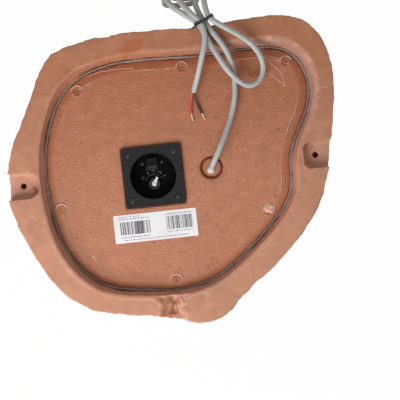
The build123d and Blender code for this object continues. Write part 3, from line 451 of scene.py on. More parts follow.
def mottled(place, colour):
    """Colour of sprayed paint, browner towards the back as painted shade and thin in places, with its noise.
    """
    broad = ramp(clouds(place, 8.0, 2.0), 0.3, 0.7)
    mottle = clouds(place, 75.0, 6.0)
    ground = tones(broad, colour, 0.95, 1.04)
    back_shade = [level * share for level, share in zip(colour, BACK_SHADE_SHARES)]
    # Painted shade: the paint turns browner and darker towards the back, away from the key lamp.
    ground = coat(ground, ramp(axis(place, "Y"), 0.0, 0.14), back_shade)
    ground = coat(ground, ramp(mottle, 0.5, 0.75, 0.0, 0.35), shade(colour, 0.84))
    ground = coat(ground, ramp(mottle, 0.48, 0.28, 0.0, 0.3), shade(colour, 1.12))
    return ground, mottle


def pitted(place, scale, rarity):
    """1 at small round pits, in the share of cells that rarity leaves."""
    cells = node(place, "TexVoronoi", {"Vector": place, "Scale": scale})
    pick = node(cells, "SeparateColor", {"Color": cells.outputs["Color"]}).outputs[0]
    pit = ramp(cells.outputs["Distance"], 0.2, 0.1)
    return times(ramp(pick, rarity, rarity + 0.01), pit)


def sandstone(name, colour):
    """Sprayed paint on moulded rock: mottled and pitted, with the marks of its wear, painted shade and light,
    and craggy sides.
    """
    material, shader, place = new_material(name)
    ground, mottle = mottled(place, colour)
    pit = pitted(place, 120.0, 0.95)
    ground = coat(ground, times(pit, 0.5), PAINT_DARK)
    for mark, tone in ROCK_MARKS.items():
        ground = coat(ground, attribute(place, mark), tone)
    paint(shader, ground, ramp(mottle, 0.3, 0.7, 0.66, 0.82))
    crags = times(attribute(place, "side"), clouds(place, 42.0, 6.0), 7.0)
    fine = calculate("SUBTRACT", clouds(place, 230.0, 4.0), pit)
    roughen(shader, calculate("ADD", fine, crags), 0.25, 0.0014)
    return material


def ridge_highlight(place, edge):
    """Painted highlight with some pale wear in a thin broken line along the plate's ridge, but not at its
    front and left.
    """
    wavy = calculate("ADD", edge, ramp(clouds(place, 40.0, 4.0), 0.3, 0.7, -1.6, 1.6))
    broken = ramp(clouds(place, 24.0, 5.0), 0.46, 0.62, 0.0, 0.85)
    right = ramp(axis(place, "X"), -0.145, -0.12)
    back = ramp(axis(place, "Y"), -0.06, -0.03)
    return times(band(wavy, RIDGE_MM, 0.4, 1.0), broken, right, back)


def stippled(name, colour):
    """Paint of the plate: stippled and pitted, darker at its edge as painted shade, with a painted highlight
    and shadow round screws, painted shade round pieces and a pale line along its ridge.
    """
    material, shader, place = new_material(name)
    ground, mottle = mottled(place, colour)
    edge, ring, above, groove, flange = (attribute(place, mark) for mark in PLATE_MARKS)
    grain = node(place, "Mapping", {"Vector": place, "Scale": (0.65, 1.0, 1.0)}).outputs["Vector"]
    stipple = times(clouds(grain, 620.0, 2.0), ramp(edge, 7.0, 15.0, 0.3, 1.0))
    ground = coat(ground, ramp(stipple, 0.45, 0.7, 0.0, 0.5), shade(colour, 0.82))
    pit = pitted(place, 170.0, 0.95)
    ground = coat(ground, times(pit, 0.75), shade(PAINT_DARK, 0.8))
    # Painted shade along the plate's edge, beside the recess's wall.
    ground = coat(ground, ramp(edge, 11.0, 4.0, 0.0, 0.5), PAINT_DARK)
    # Painted shadow: a thin dark ring round each screw, strongest on its back side.
    gap = times(band(ring, SCREW_SHADOW_MM, 0.3, 1.1), ramp(above, -2.0, 2.0, 0.0, 0.8))
    ground = coat(ground, gap, shade(PAINT_DARK, 0.7))
    # Painted highlight: a pale crescent on the back side of each screw, where its ring faces the key lamp.
    crescent = times(band(ring, SCREW_HIGHLIGHT_MM, 0.6, 1.7), ramp(above, 0.5, 3.5))
    # Painted highlights on the ridge and in the screws' crescents, with some pale wear on the ridge.
    wear_and_painted_light = calculate("MAXIMUM", ridge_highlight(place, edge), crescent)
    ground = coat(ground, times(wear_and_painted_light, 0.75), PAINT_PALE)
    # Painted shade in the gland's groove and in a thin band round the cup's flange.
    gland, cup = band(groove, GROOVE_MM, 1.6, 2.3), band(flange, 0.0, 0.9, 1.7)
    ground = coat(ground, calculate("MAXIMUM", gland, cup), GROOVE_SHADE)
    paint(shader, ground, ramp(mottle, 0.3, 0.7, 0.6, 0.75))
    relief = calculate("ADD", stipple, calculate("SUBTRACT", wear_and_painted_light, pit))
    roughen(shader, relief, 0.9, 0.0012)
    return material


def cup_plastic():
    """Black moulding, with a greyer face on the flange and painted shade that makes the dish below it dark
    and dull.
    """
    material, shader, place = new_material("cup_plastic")
    face = ramp(axis(place, "Z"), *CUP_FACE)
    tone = tones(clouds(place, 90.0, 4.0), CUP_COLOUR, 0.86, 1.12)
    gloss = ramp(clouds(place, 40.0), 0.3, 0.7, 0.52, 0.66)
    # Painted shade: the dish below the flange is near black and has less sheen.
    paint(shader, mix(face, rgb(*CUP_DISH_SHADE), tone), gloss)
    feed(shader, "Specular IOR Level", ramp(face, 0.0, 1.0, 0.05, 0.2))
    roughen(shader, clouds(place, 1500.0, 2.0), 0.12, 0.0003)
    return material


def make_materials():
    """One finish for each slot of the record."""
    made = {
        "rock_paint": sandstone("rock_paint", ROCK_COLOUR),
        "plate_paint": stippled("plate_paint", PLATE_COLOUR),
        "gland_paint": sandstone("gland_paint", shade(PLATE_COLOUR, 0.9)),
        "cup_black": cup_plastic(),
        "spider_cloth": woven("spider_cloth", (196, 160, 84)),
        "wadding": woven("wadding", (214, 212, 204), pitch=260.0, rough=0.95),
    }

    def plain(slot, *colour, **settings):
        made[slot] = surface(slot, colour, **settings)

    plain("seal_grey", 130, 113, 109, spread=0.2, patch=20.0, bump=0.3)
    plain("screw_paint", *shade(PLATE_COLOUR, 0.93), rough=0.6, spread=0.15, patch=200.0, bump=0.4)
    plain("black_steel", 40, 40, 42, rough=0.38, spread=0.2, patch=300.0)
    plain("pointer_white", 232, 232, 228, rough=0.35, spread=0.04, patch=200.0)
    plain("label_white", 231, 231, 234, rough=0.4, spread=0.015, patch=25.0, bump=0.05)
    plain("nylon_black", 16, 16, 17, rough=0.55, patch=120.0, shine=0.12)
    plain("cable_grey", *CABLE_COLOUR, rough=0.42, spread=0.05, patch=45.0, grain=500.0, bump=0.12)
    plain("tie_black", 24, 24, 25, rough=0.45, spread=0.2, patch=250.0)
    plain("wire_red", 216, 72, 52, rough=0.4, spread=0.08, patch=150.0)
    plain("wire_black", 26, 26, 28, rough=0.4, spread=0.15, patch=150.0)
    plain("grille_paint", *shade(ROCK_COLOUR, 0.86), rough=0.55, patch=70.0)
    plain("foam_black", 34, 34, 36, rough=0.9, spread=0.25, patch=400.0, bump=0.6)
    plain("basket_black", 40, 40, 42, rough=0.45, metallic=0.3, patch=120.0)
    plain("cone_grey", 66, 66, 68, rough=0.7, spread=0.15, patch=260.0, bump=0.4)
    plain("surround_black", 28, 28, 29, rough=0.55, patch=90.0)
    plain("copper", 196, 118, 74, rough=0.3, metallic=1.0, patch=200.0)
    plain("ferrite", 46, 45, 47, rough=0.65, patch=150.0, bump=0.4)
    plain("zinc_steel", 176, 178, 176, rough=0.35, metallic=1.0, patch=80.0)
    plain("tag_board", 150, 112, 62, rough=0.6, patch=180.0)
    plain("core_steel", 92, 92, 96, rough=0.45, metallic=0.8, patch=160.0)
    plain("winding_tape", 206, 176, 70, rough=0.35, spread=0.1, patch=80.0)
    return made


def dress_nodes(materials):
    for row in frame["record"]["subparts"]:
        slots = frame["nodes"][row["node"]].data.materials
        slots.clear()
        slots.append(materials[row["material_slot"]])


def soften(name, width):
    """Broken edges on a node."""
    piece = frame["nodes"][name]
    piece.modifiers.new("weld", "WELD").merge_threshold = WELD
    bevel = piece.modifiers.new("edges", "BEVEL")
    bevel.width = width
    bevel.segments = 2
    bevel.limit_method = "ANGLE"
    bevel.angle_limit = radians(35)
    bevel.harden_normals = True


# Camera, light and floor


def make_camera():
    camera = link("camera", bpy.data.cameras.new("camera"))
    camera.location = CAMERA_AT
    camera.rotation_euler = (0, 0, radians(CAMERA_ROLL))
    camera.data.lens = CAMERA_LENS
    bpy.context.scene.camera = camera


def make_lamp(name, at, size, power):
    lamp = link(name, bpy.data.lights.new(name, "AREA"))
    lamp.data.size = size
    lamp.data.energy = power
    lamp.location = at
    lamp.rotation_euler = (Vector(LAMP_AIM) - Vector(at)).to_track_quat("-Z", "Y").to_euler()


def background_rays(tree):
    """1 where the background itself is seen, also in a mirror or through glass."""
    path = node(tree, "LightPath").outputs
    seen = calculate("MAXIMUM", path["Is Camera Ray"], path["Is Glossy Ray"])
    return calculate("MAXIMUM", seen, path["Is Transmission Ray"])


def make_world():
    world = bpy.data.worlds.new("surround")
    bpy.context.scene.world = world
    world.use_nodes = True
    background = world.node_tree.nodes["Background"]
    seen = background_rays(world.node_tree)
    feed(background, "Strength", ramp(seen, 0.0, 1.0, SURROUND_LEVEL, 1.0))
    feed(background, "Color", mix(seen, SURROUND_TINT, (1, 1, 1, 1)))


def make_floor():
    mesh = bpy.data.meshes.new("floor")
    half = FLOOR_SIZE / 2
    corners = [(-half, -half, 0), (half, -half, 0), (half, half, 0), (-half, half, 0)]
    mesh.from_pydata(corners, [], [(0, 1, 2, 3)])
    floor = link("floor", mesh)
    material = bpy.data.materials.new("floor_white")
    material.use_nodes = True
    tree = material.node_tree
    matt = node(tree, "BsdfDiffuse", {"Color": rgb(*FLOOR_COLOUR)}).outputs[0]
    glow = node(tree, "Emission", {"Color": (1, 1, 1, 1)}).outputs[0]
    share = times(background_rays(tree), FLOOR_GLOW)
    mixed = node(tree, "MixShader", {0: share, 1: matt, 2: glow}).outputs[0]
    feed(tree.nodes["Material Output"], "Surface", mixed)
    mesh.materials.append(material)


# Cable


def round_curve(name, resolution):
    """Curve with a round section, as thick as its points say."""
    curve = bpy.data.curves.new(name, "CURVE")
    curve.dimensions = "3D"
    curve.bevel_depth = 1.0
    curve.bevel_resolution = resolution
    return curve


def add_spline(curve, kind, points, radii):
    spline = curve.splines.new(kind)
    spline.points.add(len(points) - 1)
    for control, point, radius in zip(spline.points, points, radii):
        control.co = (*point, 1.0)
        control.radius = radius
    return spline


def nurbs(name, points, diameter):
    """Round cord along one smooth spline."""
    curve = round_curve(name, 5)
    curve.use_fill_caps = True
    spline = add_spline(curve, "NURBS", points, [diameter / 2] * len(points))
    spline.order_u = 3
    spline.use_endpoint_u = True
    spline.resolution_u = 10
    return link(name, curve)


def hank_loop(layer, out, back):
    """Control points of one loop: over the edge, down, round the bottom and up again."""
    bend_y, bend_z = HANK_BEND_MM
    radius = layer + HANK_EASE_MM

    def over(tie_x, edge_x, fan_x):
        points = []
        for x, turn in ((tie_x, 2.0), (edge_x, 30.0), ((edge_x + fan_x) / 2, 60.0), (fan_x, 92.0)):
            points.append((x, bend_y + radius * sin(radians(turn)), bend_z + radius * cos(radians(turn))))
        return points

    down, up = out[2], back[2]
    cut = (down - up) / 2 * (1 - OCTAGON)
    bottom = [(down, HANK_LOW_MM + cut), (down - cut, HANK_LOW_MM), (up + cut, HANK_LOW_MM),
              (up, HANK_LOW_MM + cut)]
    hanging = [(down, HANK_RUN_MM), *bottom, (up, HANK_RUN_MM)]
    return over(*out) + [(x, bend_y + layer, z) for x, z in hanging] + over(*back)[::-1]


def make_cable(materials):
    route = list(LEAD_ROUTE_MM)
    for loop, stretch in zip(HANK_LOOPS_MM, (LOOP_ROUTE_MM, END_ROUTE_MM)):
        route += hank_loop(*loop) + stretch
    cable = nurbs("cable", in_metres(route), CABLE_DIAMETER)
    nodes = ("cable_lead", "cable_loop", "cable_end", "cable_hank")
    declare(cable, "cable_grey", materials["cable_grey"], *nodes)
    return cable


def make_conductors(materials):
    """Two insulated conductors out of the cable's end, each with a bare twisted tip."""
    last, end = in_metres(END_ROUTE_MM)[-2:]
    heading = (end - last).normalized()
    aside = heading.cross(UP).normalized() * CONDUCTOR_SPACING_MM / 2 * MM
    tinned = surface("tinned_copper", TINNED_COLOUR, rough=0.3, metallic=0.7, patch=200.0)
    pieces = []
    for side, (colour, route) in zip((1, -1), CONDUCTOR_ROUTES_MM.items()):
        start = end + aside * side - heading * CONDUCTOR_SUNK
        points = [start, start + heading * CONDUCTOR_STRAIGHT] + in_metres(route)
        wire = nurbs(colour + "_wire", points, CONDUCTOR_DIAMETER)
        declare(wire, "wire_" + colour, materials["wire_" + colour], colour + "_conductor")
        strands = bare_strands(colour + "_strands", points[-1], points[-1] - points[-2])
        declare(strands, "copper", tinned)
        pieces += [wire, strands]
    return pieces


def bare_strands(name, start, along):
    """Six strands twisted round a straight one and a little frayed at the tip."""
    along = along.normalized()
    side = along.cross(UP).normalized()
    up = side.cross(along)
    curve = round_curve(name, 2)
    for strand in range(7):
        lay = STRAND_LAY if strand < 6 else 0.0
        points = []
        for step in range(14):
            share = step / 13
            turn = 2 * pi * (strand / 6 + 1.3 * share)
            radius = lay * (1 + 0.9 * share ** 3)
            offset = (side * cos(turn) + up * sin(turn)) * radius
            points.append(start + along * BARE_LENGTH_MM * MM * (share - 0.08) + offset)
        add_spline(curve, "POLY", points, [STRAND_RADIUS] * len(points))
    return link(name, curve)


def tie_ring(bm, place, turn):
    """Section of the band at one turn round the strands, on an oval with flattened sides."""
    half_x, half_z = TIE_HALF_MM
    wide, thick = (size / 2 for size in TIE_BAND_MM)
    flat = wide * 0.8
    section = [(-wide, 0), (-flat, thick), (flat, thick), (wide, 0), (flat, -thick), (-flat, -thick)]
    x, z = (copysign(abs(way) ** 0.6, way) for way in (cos(turn), sin(turn)))
    sag = 0.5 * sin(3 * turn)
    points = [Vector((x * (half_x + out), y + sag, z * (half_z + out))) for y, out in section]
    return [bm.verts.new(place @ (point * MM)) for point in points]


def tail_ring(bm, start, phase, share):
    """Section of one of the tie's twisted ends, at a share of its length."""
    turn = phase + 5 * pi * share
    centre = start + Vector(TIE_TAIL_WAY).normalized() * TIE_TAIL_LENGTH * share
    centre += Vector((-sin(turn) * 0.4, sin(turn) * 0.7, cos(turn))) * TIE_TWIST
    around = [Vector((0.4 * cos(a), -0.8 * cos(a), sin(a))) for a in turns(6)]
    return [bm.verts.new(centre + spoke * TIE_WIRE) for spoke in around]


def make_tie(materials):
    """Band round the strands with its twisted ends."""
    place = Matrix.Translation(Vector(TIE_AT_MM) * MM) @ Matrix.Rotation(radians(TIE_TURN), 4, "Z")
    bm = bmesh.new()
    join_rings(bm, [tie_ring(bm, place, turn) for turn in turns(72)], closed=True)
    tail = place @ (Vector(TIE_TAIL_MM) * MM)
    for phase in (0, pi):
        join_rings(bm, [tail_ring(bm, tail, phase, step / 21) for step in range(22)], closed=False)
    tie = finish_mesh("tie", bm)
    declare(tie, "tie_black", materials["tie_black"], "cable_tie")
    return tie


# Mesh helpers


def join_rings(bm, rings, closed):
    """Skin over a row of rings of vertices, with flat ends if it is open."""
    count = len(rings[0])
    for first, second in zip(rings, rings[1:] + rings[:1] if closed else rings[1:]):
        for i in range(count):
            j = (i + 1) % count
            bm.faces.new((first[i], first[j], second[j], second[i]))
    if not closed:
        bm.faces.new(rings[0][::-1])
        bm.faces.new(rings[-1])


def to_piece(name, bm):
    mesh = bpy.data.meshes.new(name)
    bm.to_mesh(mesh)
    bm.free()
    return link(name, mesh)


def finish_mesh(name, bm, angle=40.0):
    """Piece with smooth faces that all look outwards."""
    bmesh.ops.recalc_face_normals(bm, faces=bm.faces)
    piece = to_piece(name, bm)
    smooth(piece.data, angle)
    return piece


def islands(name, turn):
    """Boxes of a node's separate solids in a turned frame, as lowest and highest corners."""
    bm = bmesh.new()
    bm.from_mesh(frame["nodes"][name].data)
    bm.transform(turn.inverted())
    bmesh.ops.remove_doubles(bm, verts=bm.verts, dist=WELD)
    boxes = []
    reached = set()
    for first in bm.verts:
        if first in reached:
            continue
        reached.add(first)
        group, queue = [], [first]
        while queue:
            vertex = queue.pop()
            group.append(vertex.co.copy())
            for edge in vertex.link_edges:
                other = edge.other_vert(vertex)
                if other not in reached:
                    reached.add(other)
                    queue.append(other)
        boxes.append([Vector(pick(point[i] for point in group) for i in range(3)) for pick in (min, max)])
    bm.free()
    return boxes


def modify(piece, kind, picked=None, **settings):
    """Apply one modifier to a piece's mesh, or to some of its vertices."""
    modifier = piece.modifiers.new(kind.lower(), kind)
    if picked is not None:
        group = piece.vertex_groups.new(name="picked")
        group.add(picked, 1.0, "REPLACE")
        modifier.vertex_group = group.name
    for name, value in settings.items():
        setattr(modifier, name, value)
    mesh = evaluated(piece)
    piece.modifiers.clear()
    piece.data = mesh
    piece.vertex_groups.clear()


def remeshed(name, source, voxel):
    """Even mesh over a copy of a node's solid."""
    piece = link(name, frame["nodes"][source].data.copy())
    modify(piece, "WELD", merge_threshold=WELD)
    modify(piece, "REMESH", mode="VOXEL", voxel_size=voxel)
    return piece


def store(mesh, rows):
    """Named values at the vertices, one row for each."""
    for name in rows[0]:
        values = [row[name] for row in rows]
        mesh.attributes.new(name, "FLOAT", "POINT").data.foreach_set("value", values)


def fade(value, low, high):
    """0 below low, 1 above high and smooth between."""
    share = min(max((value - low) / (high - low), 0.0), 1.0)
    return share * share * (3 - 2 * share)


def within(value, middle, half, fringe):
    """1 near a middle value, and fading over the fringe to 0 at half away from it."""
    return fade(half - abs(value - middle), 0.0, fringe)


def speckle(point, scale, detail=4):
    """Cloudy value about zero at a point."""
    return noise.fractal(point * scale, 1.0, 2.0, detail)


def solid_tree(piece):
    """Search tree over a piece as it is shown."""
    bpy.context.view_layer.update()
    return BVHTree.FromObject(piece, bpy.context.evaluated_depsgraph_get())


def seal_loop():
    """Middle of the seal all round, found from the centre outwards."""
    solid = solid_tree(frame["nodes"]["base_seal"])
    points = []
    for turn in turns(SEAL_STEPS):
        along = Vector((cos(turn), sin(turn), 0))
        inner = solid.ray_cast(UP * SEAL_PROBE, along)[0]
        outer = solid.ray_cast(inner + along * 0.0005, along)[0]
        points.append((inner + outer) / 2)
    return points


def flat_tree(points):
    tree = KDTree(len(points))
    for i, point in enumerate(points):
        tree.insert((point.x, point.y, 0), i)
    tree.balance()
    return tree


def seal_gap(point, near):
    """Millimetres from the middle of the seal, seen from above."""
    return near.find((point.x, point.y, 0))[2] / MM


# Rock


def make_rock(materials, loop):
    """Rock with crags on its sides, a softly worn rim and a ragged notch."""
    rock = remeshed("rock_skin", "rock_shell", SKIN_VOXEL)
    near = flat_tree(loop)
    shell = solid_tree(frame["nodes"]["rock_shell"])
    vertices = rock.data.vertices
    gaps = {v.index: seal_gap(v.co, near) for v in vertices if v.co.z > LIP_LEVEL}
    firm = {i for i, gap in gaps.items() if gap < LIP_WIDTH_MM or in_pocket(vertices[i].co)}
    modify(rock, "SMOOTH", [v.index for v in vertices if v.index not in firm], factor=0.5, iterations=2)
    moved = []
    for vertex in rock.data.vertices:
        point, out = vertex.co.copy(), vertex.normal.copy()
        if not in_hollow(shell, point, out):
            moved.append((vertex, weather(point, out, gaps.get(vertex.index, FAR_MM))))
    for vertex, point in moved:
        vertex.co = point
    below = [v for v in rock.data.vertices if v.co.z < PLAIN_BELOW]
    plain = [v.index for v in below if baffle_distance(v.co) > PLAIN_FROM_BAFFLE]
    modify(rock, "DECIMATE", plain, ratio=SKIN_SHARE)
    store(rock.data, [rock_marks(vertex.co, near) for vertex in rock.data.vertices])
    smooth(rock.data, SKIN_SHARP)
    declare(rock, "rock_paint", materials["rock_paint"], "rock_shell")
    return rock


def in_hollow(shell, point, out):
    """Whether a point of the shell faces another wall of it from inside."""
    if not HOLLOW_LEVELS[0] <= point.z < HOLLOW_LEVELS[1]:
        return False
    return shell.ray_cast(point + out * HOLLOW_PROBE, out, HOLLOW_REACH)[0] is not None


def in_pocket(point):
    """Whether a point of the rim is at an anchor pocket."""
    left, right = POCKETS_X
    return abs(point.y - POCKET_Y) < POCKET_HALF and not left <= point.x <= right


def baffle_distance(point):
    """Distance from the axis of the loudspeaker's opening."""
    axis_way = Vector((0, -cos(radians(BAFFLE_LEAN)), -sin(radians(BAFFLE_LEAN))))
    offset = point - Vector(BAFFLE_AT_MM) * MM
    return (offset - axis_way * offset.dot(axis_way)).length


def torn(point):
    """How far a point of the rim is in the torn notch, from 0 to 1."""
    return within(point.x, NOTCH_X, NOTCH_HALF, 0.01) * fade(-point.y, *NOTCH_REACH)


def back_corner(point):
    """1 at the back right of the rim, where the lip is broad and worn."""
    return fade(point.x + point.y, *BACK_CORNER)


def crag_depth(point, out, gap, side):
    """How far a point of the side goes out: crags, and waves of the rim's outer edge."""
    crag = side * fade(point.z, 0.003, 0.02)
    if out.y < -0.1 and point.y < 0:
        crag *= fade(baffle_distance(point), *BAFFLE_FADE)
    depth = crag * CRAG_DEPTH * (speckle(point + CRAG_SHIFT, 22.0, 5) + 0.5 * speckle(point, 80.0))
    edge = fade(gap, 18.0, 30.0) * fade(point.z, 0.27, 0.295) * (1.0 - abs(out.z))
    return depth + edge * EDGE_WAVE * speckle(point, 45.0)


def rim_lift(point, out, gap):
    """How far a point of the rim goes up: low waves, the rough notch and the raised lip."""
    lift = RIM_WAVE * (speckle(point, 22.0, 3) + 0.5 * speckle(point, 90.0, 2)) * abs(out.z)
    lift += NOTCH_WAVE * torn(point) * speckle(point, 130.0, 3)
    lip = fade(gap, 3.2, 4.8) * (1 - fade(gap, 6.5, LIP_WIDTH_MM)) * fade(out.z, 0.15, 0.5)
    return lift + LIP_LIFT * lip * (1 - back_corner(point)) * (1 - torn(point))


def weather(point, out, gap):
    """Where a point of the outside goes, clear of the anchor holes and within the rock's height."""
    rim = fade(point.z, *RIM_LEVELS)
    moved = point + out * crag_depth(point, out, gap, 1.0 - rim) + UP * (rim * rim_lift(point, out, gap))
    for centre in ANCHORS_MM:
        spoke = moved.xy - Vector(centre) * MM
        if ANCHOR_LEVELS[0] < moved.z < ANCHOR_LEVELS[1] and spoke.length < ANCHOR_RADIUS:
            moved.xy += spoke * (ANCHOR_RADIUS / spoke.length - 1)
    moved.z = min(max(moved.z, 0.0), RIM_LIMIT)
    return moved


def rock_marks(point, near):
    """How strong each mark in the rock's paint is at a point, painted shade and light among them, and how
    craggy the paint is.
    """
    marks = dict.fromkeys(ROCK_MARKS, 0.0)
    marks["side"] = 1.0 - fade(point.z, *SIDE_LEVELS)
    if point.z > MARKED_ABOVE:
        gap = seal_gap(point, near)
        marks["wear_and_painted_light"] = pale_wear_with_painted_light(point, gap)
        marks["glue"] = glued(point, gap)
        marks["painted_shade"] = foot_and_notch_shade(point, gap)
        marks["crack"] = cracked(point)
        marks["smear"] = smeared(point)
    return marks


def patchy(point):
    return fade(speckle(point, 30.0, 5), -0.25, 0.45)


def worn_corner(point):
    """1 at the back right of the lip, over the plate."""
    return back_corner(point) * fade(point.z, 0.2785, 0.282)


def front_wall(point, gap):
    """1 on the recess's wall at the front left, which faces away from the key lamp."""
    return fade(-point.x - point.y, 0.0, 0.1) * (1 - fade(gap, 6.0, 8.0)) * fade(point.z, 0.278, 0.284)


def pale_wear_with_painted_light(point, gap):
    """Pale wear along the lip, scuffed at its broad corner, in the notch and the pockets, with painted light
    on the front wall.
    """
    worn = 0.1 * patchy(point) * fade(point.z, 0.286, 0.2965) * (1 - fade(gap, 9.0, 14.0))
    scuffs = 0.3 + 0.7 * fade(speckle(point, 90.0, 4), -0.2, 0.4)
    worn = max(worn, 0.5 * worn_corner(point) * scuffs * within(gap, 9.0, 2.4, 1.4))
    worn = max(worn, 0.35 * torn(point) * fade(speckle(point, 160.0, 3), 0.1, 0.4))
    if in_pocket(point):
        worn = 0.22 * (1 - fade(point.z, 0.2865, 0.293))
    # Painted light: the front wall, which the key lamp leaves in shade, is made paler.
    return max(worn, 0.2 * front_wall(point, gap))


def glued(point, gap):
    """Sealant smeared up the wall at the broad corner."""
    return 0.85 * worn_corner(point) * (1 - fade(gap, 6.5, 8.5)) * (0.6 + 0.4 * patchy(point))


def foot_and_notch_shade(point, gap):
    """Painted shade at the foot of the recess's wall, less of it on the front wall, and in the middle of the
    notch.
    """
    foot = (1 - fade(point.z, 0.278, 0.291)) * (1 - fade(gap, 6.0, 9.0)) * (1 - back_corner(point))
    blotches = 0.55 + 0.4 * fade(speckle(point + BLOTCH_SHIFT, 150.0, 3), 0.0, 0.3)
    core = within(point.x, NOTCH_X, 0.011, 0.006) * torn(point)
    # Painted shade: darker at the foot of the wall and in the notch's middle, and less of it on the front
    # wall.
    return max(0.4 * foot * (1 - 0.4 * front_wall(point, gap)), core * blotches)


def cracked(point):
    """Dark crack that sways along the notch."""
    across = within(point.x + 0.004 * speckle(point, 120.0, 2), NOTCH_X, 0.0036, 0.003)
    return 0.75 * across * within(point.y, CRACK_Y, 0.009, 0.004) * torn(point)


def smeared(point):
    """Leaning smear of browner paint on the rim at the back."""
    middle = SMEAR_AT[0] + 0.5 * (point.y - SMEAR_AT[1])
    across = within(point.x, middle, SMEAR_HALF[0], 0.002)
    return 0.8 * across * within(point.y, SMEAR_AT[1], SMEAR_HALF[1], 0.002)


# Base plate, seal and screws


def make_plate(materials, loop, screws):
    """Painted plate with an uneven skin, a ridge inside its edge and paint piled round the screws."""
    plate = remeshed("plate_skin", "base_plate", PLATE_VOXEL)
    near = flat_tree(loop)
    below = [v.index for v in plate.data.vertices if v.co.z < PLATE_BACK and v.normal.z < -0.5]
    modify(plate, "DECIMATE", below, ratio=PLATE_SHARE)
    mesh = plate.data
    rows = [plate_marks(vertex.co, near, screws) for vertex in mesh.vertices]
    normals = [vertex.normal.copy() for vertex in mesh.vertices]
    for vertex, out, marks in zip(mesh.vertices, normals, rows):
        if out.z >= 0.3 and vertex.co.z >= PLATE_FACE:
            vertex.co.z += plate_lift(vertex.co.copy(), marks) * MM
    store(mesh, rows)
    smooth(mesh, 60.0)
    declare(plate, "plate_paint", materials["plate_paint"], "base_plate")
    return plate


def plate_marks(point, near, screws):
    """Millimetres from the seal, from and above the nearest screw, from the gland and from the cup."""
    screw = min(screws, key=lambda centre: (point.xy - centre).length)
    ring, above = (point.xy - screw).length / MM, (point.y - screw.y) / MM
    gland = hypot(point.x / MM - GLAND_AT_MM[0], point.y / MM - GLAND_AT_MM[1])
    cup = box_distance(point, CUP_AT_MM, CUP_HALF_MM)
    return dict(zip(PLATE_MARKS, (seal_gap(point, near), ring, above, gland, cup)))


def plate_lift(point, marks):
    """Millimetres of paint on the plate's face, which is sunk a little under other pieces."""
    lift = 0.08 * speckle(point, 210.0, 3) + 0.15 * speckle(point, 30.0, 3)
    lift += 0.25 * within(marks["edge"], RIDGE_MM, 2.2, 2.0)
    lift += 0.5 * within(marks["ring"], SCREW_PILE_MM, 2.4, 1.6) * (0.6 + speckle(point, 120.0))
    label = box_distance(point, LABEL_AT_MM, LABEL_HALF_MM)
    away = min(label, marks["flange"], marks["groove"] - GLAND_RADIUS_MM)
    flat = 1.0 - fade(away, 0.5, 5.0)
    return lift * (1.0 - flat) - PLATE_SUNK_MM * flat


def box_distance(point, at, half):
    """Millimetres outside a rectangle seen from above."""
    return max(abs(point.x / MM - at[0]) - half[0], abs(point.y / MM - at[1]) - half[1])


def make_seal(materials, loop):
    """Uneven bead of sealant between the plate and the rock."""
    bm = bmesh.new()
    rings = []
    middle = sum(loop, Vector()) / len(loop)
    for point in loop:
        out = (point - middle).normalized()
        out.z = 0.0
        size = SEAL_RADIUS + SEAL_UNEVEN * speckle(point, 70.0, 3)
        centre = Vector((point.x, point.y, SEAL_LEVEL)) + out * SEAL_SWAY * speckle(point + UP, 40.0)
        rings.append([bm.verts.new(centre + (out * cos(a) + UP * sin(a)) * size) for a in turns(10)])
    join_rings(bm, rings, closed=True)
    seal = finish_mesh("seal_bead", bm, 80.0)
    declare(seal, "seal_grey", materials["seal_grey"], "base_seal")


def heads_of(source, radius, height, shank, turn):
    """Heads of screws that stand along Z of a turned frame, with crosses turned at will."""
    picks = Random(5)
    heads = []
    for low, high in islands(source, turn):
        at = Vector(((low.x + high.x) / 2, (low.y + high.y) / 2, high.z - height))
        place = turn @ Matrix.Translation(at) @ Matrix.Rotation(picks.uniform(0, pi / 2), 4, "Z")
        heads.append((place, radius, height, shank, high.z - height - low.z))
    return heads


def cross_rings(bm, place, radius, height):
    """Outlines of a crossed recess, from over a head down into it."""
    arm, half = radius * 0.55, radius * 0.16
    outline = [(arm, half), (half, half), (half, arm)]
    outline += [(-y, x) for x, y in outline]
    outline += [(-x, -y) for x, y in outline]
    rings = []
    for share, z in ((1.0, height * 1.4), (1.0, height * 0.6), (0.5, -height * 0.4)):
        rings.append([bm.verts.new(place @ Vector((x * share, y * share, z))) for x, y in outline])
    return rings


def cross_screws(name, heads, materials, slot, source):
    """Screws with crossed recesses: each head is a place, a radius, a height, a shank radius and a length."""
    bm = bmesh.new()
    cutter = bmesh.new()
    for place, radius, height, shank, length in heads:
        profile = [(radius * r, height * z) for r, z in HEAD_PROFILE] + [(shank, 0.0), (shank, -length)]
        rings = []
        for r, z in profile:
            rings.append([bm.verts.new(place @ Vector((r * cos(a), r * sin(a), z))) for a in turns(28)])
        join_rings(bm, rings, closed=False)
        join_rings(cutter, cross_rings(cutter, place, radius, height), closed=False)
    screws = finish_mesh(name, bm)
    tool = finish_mesh(name + "_recess", cutter)
    modify(screws, "BOOLEAN", object=tool, solver="EXACT")
    smooth(screws.data, 35.0)
    bpy.data.objects.remove(tool)
    declare(screws, slot, materials[slot], source)


def make_screws(materials):
    """All screws that are seen. Returns the places of those in the plate."""
    outward = Matrix.Rotation(radians(90 + BAFFLE_LEAN), 4, "X")
    heads = {}
    for source, (piece, slot, *sizes) in SCREWS.items():
        heads[source] = heads_of(source, *sizes, outward if source == "grille_screws" else Matrix())
        cross_screws(piece, heads[source], materials, slot, source)
    return [place.translation.xy for place, *_ in heads["base_screws"]]


# Marks in the paint


def walk(path, step):
    """Points along a path in even steps."""
    points = []
    for first, second in zip(path, path[1:]):
        start, end = Vector(first), Vector(second)
        count = max(int((end - start).length / step), 1)
        points += [start.lerp(end, i / count) for i in range(count)]
    return points + [Vector(path[-1])]


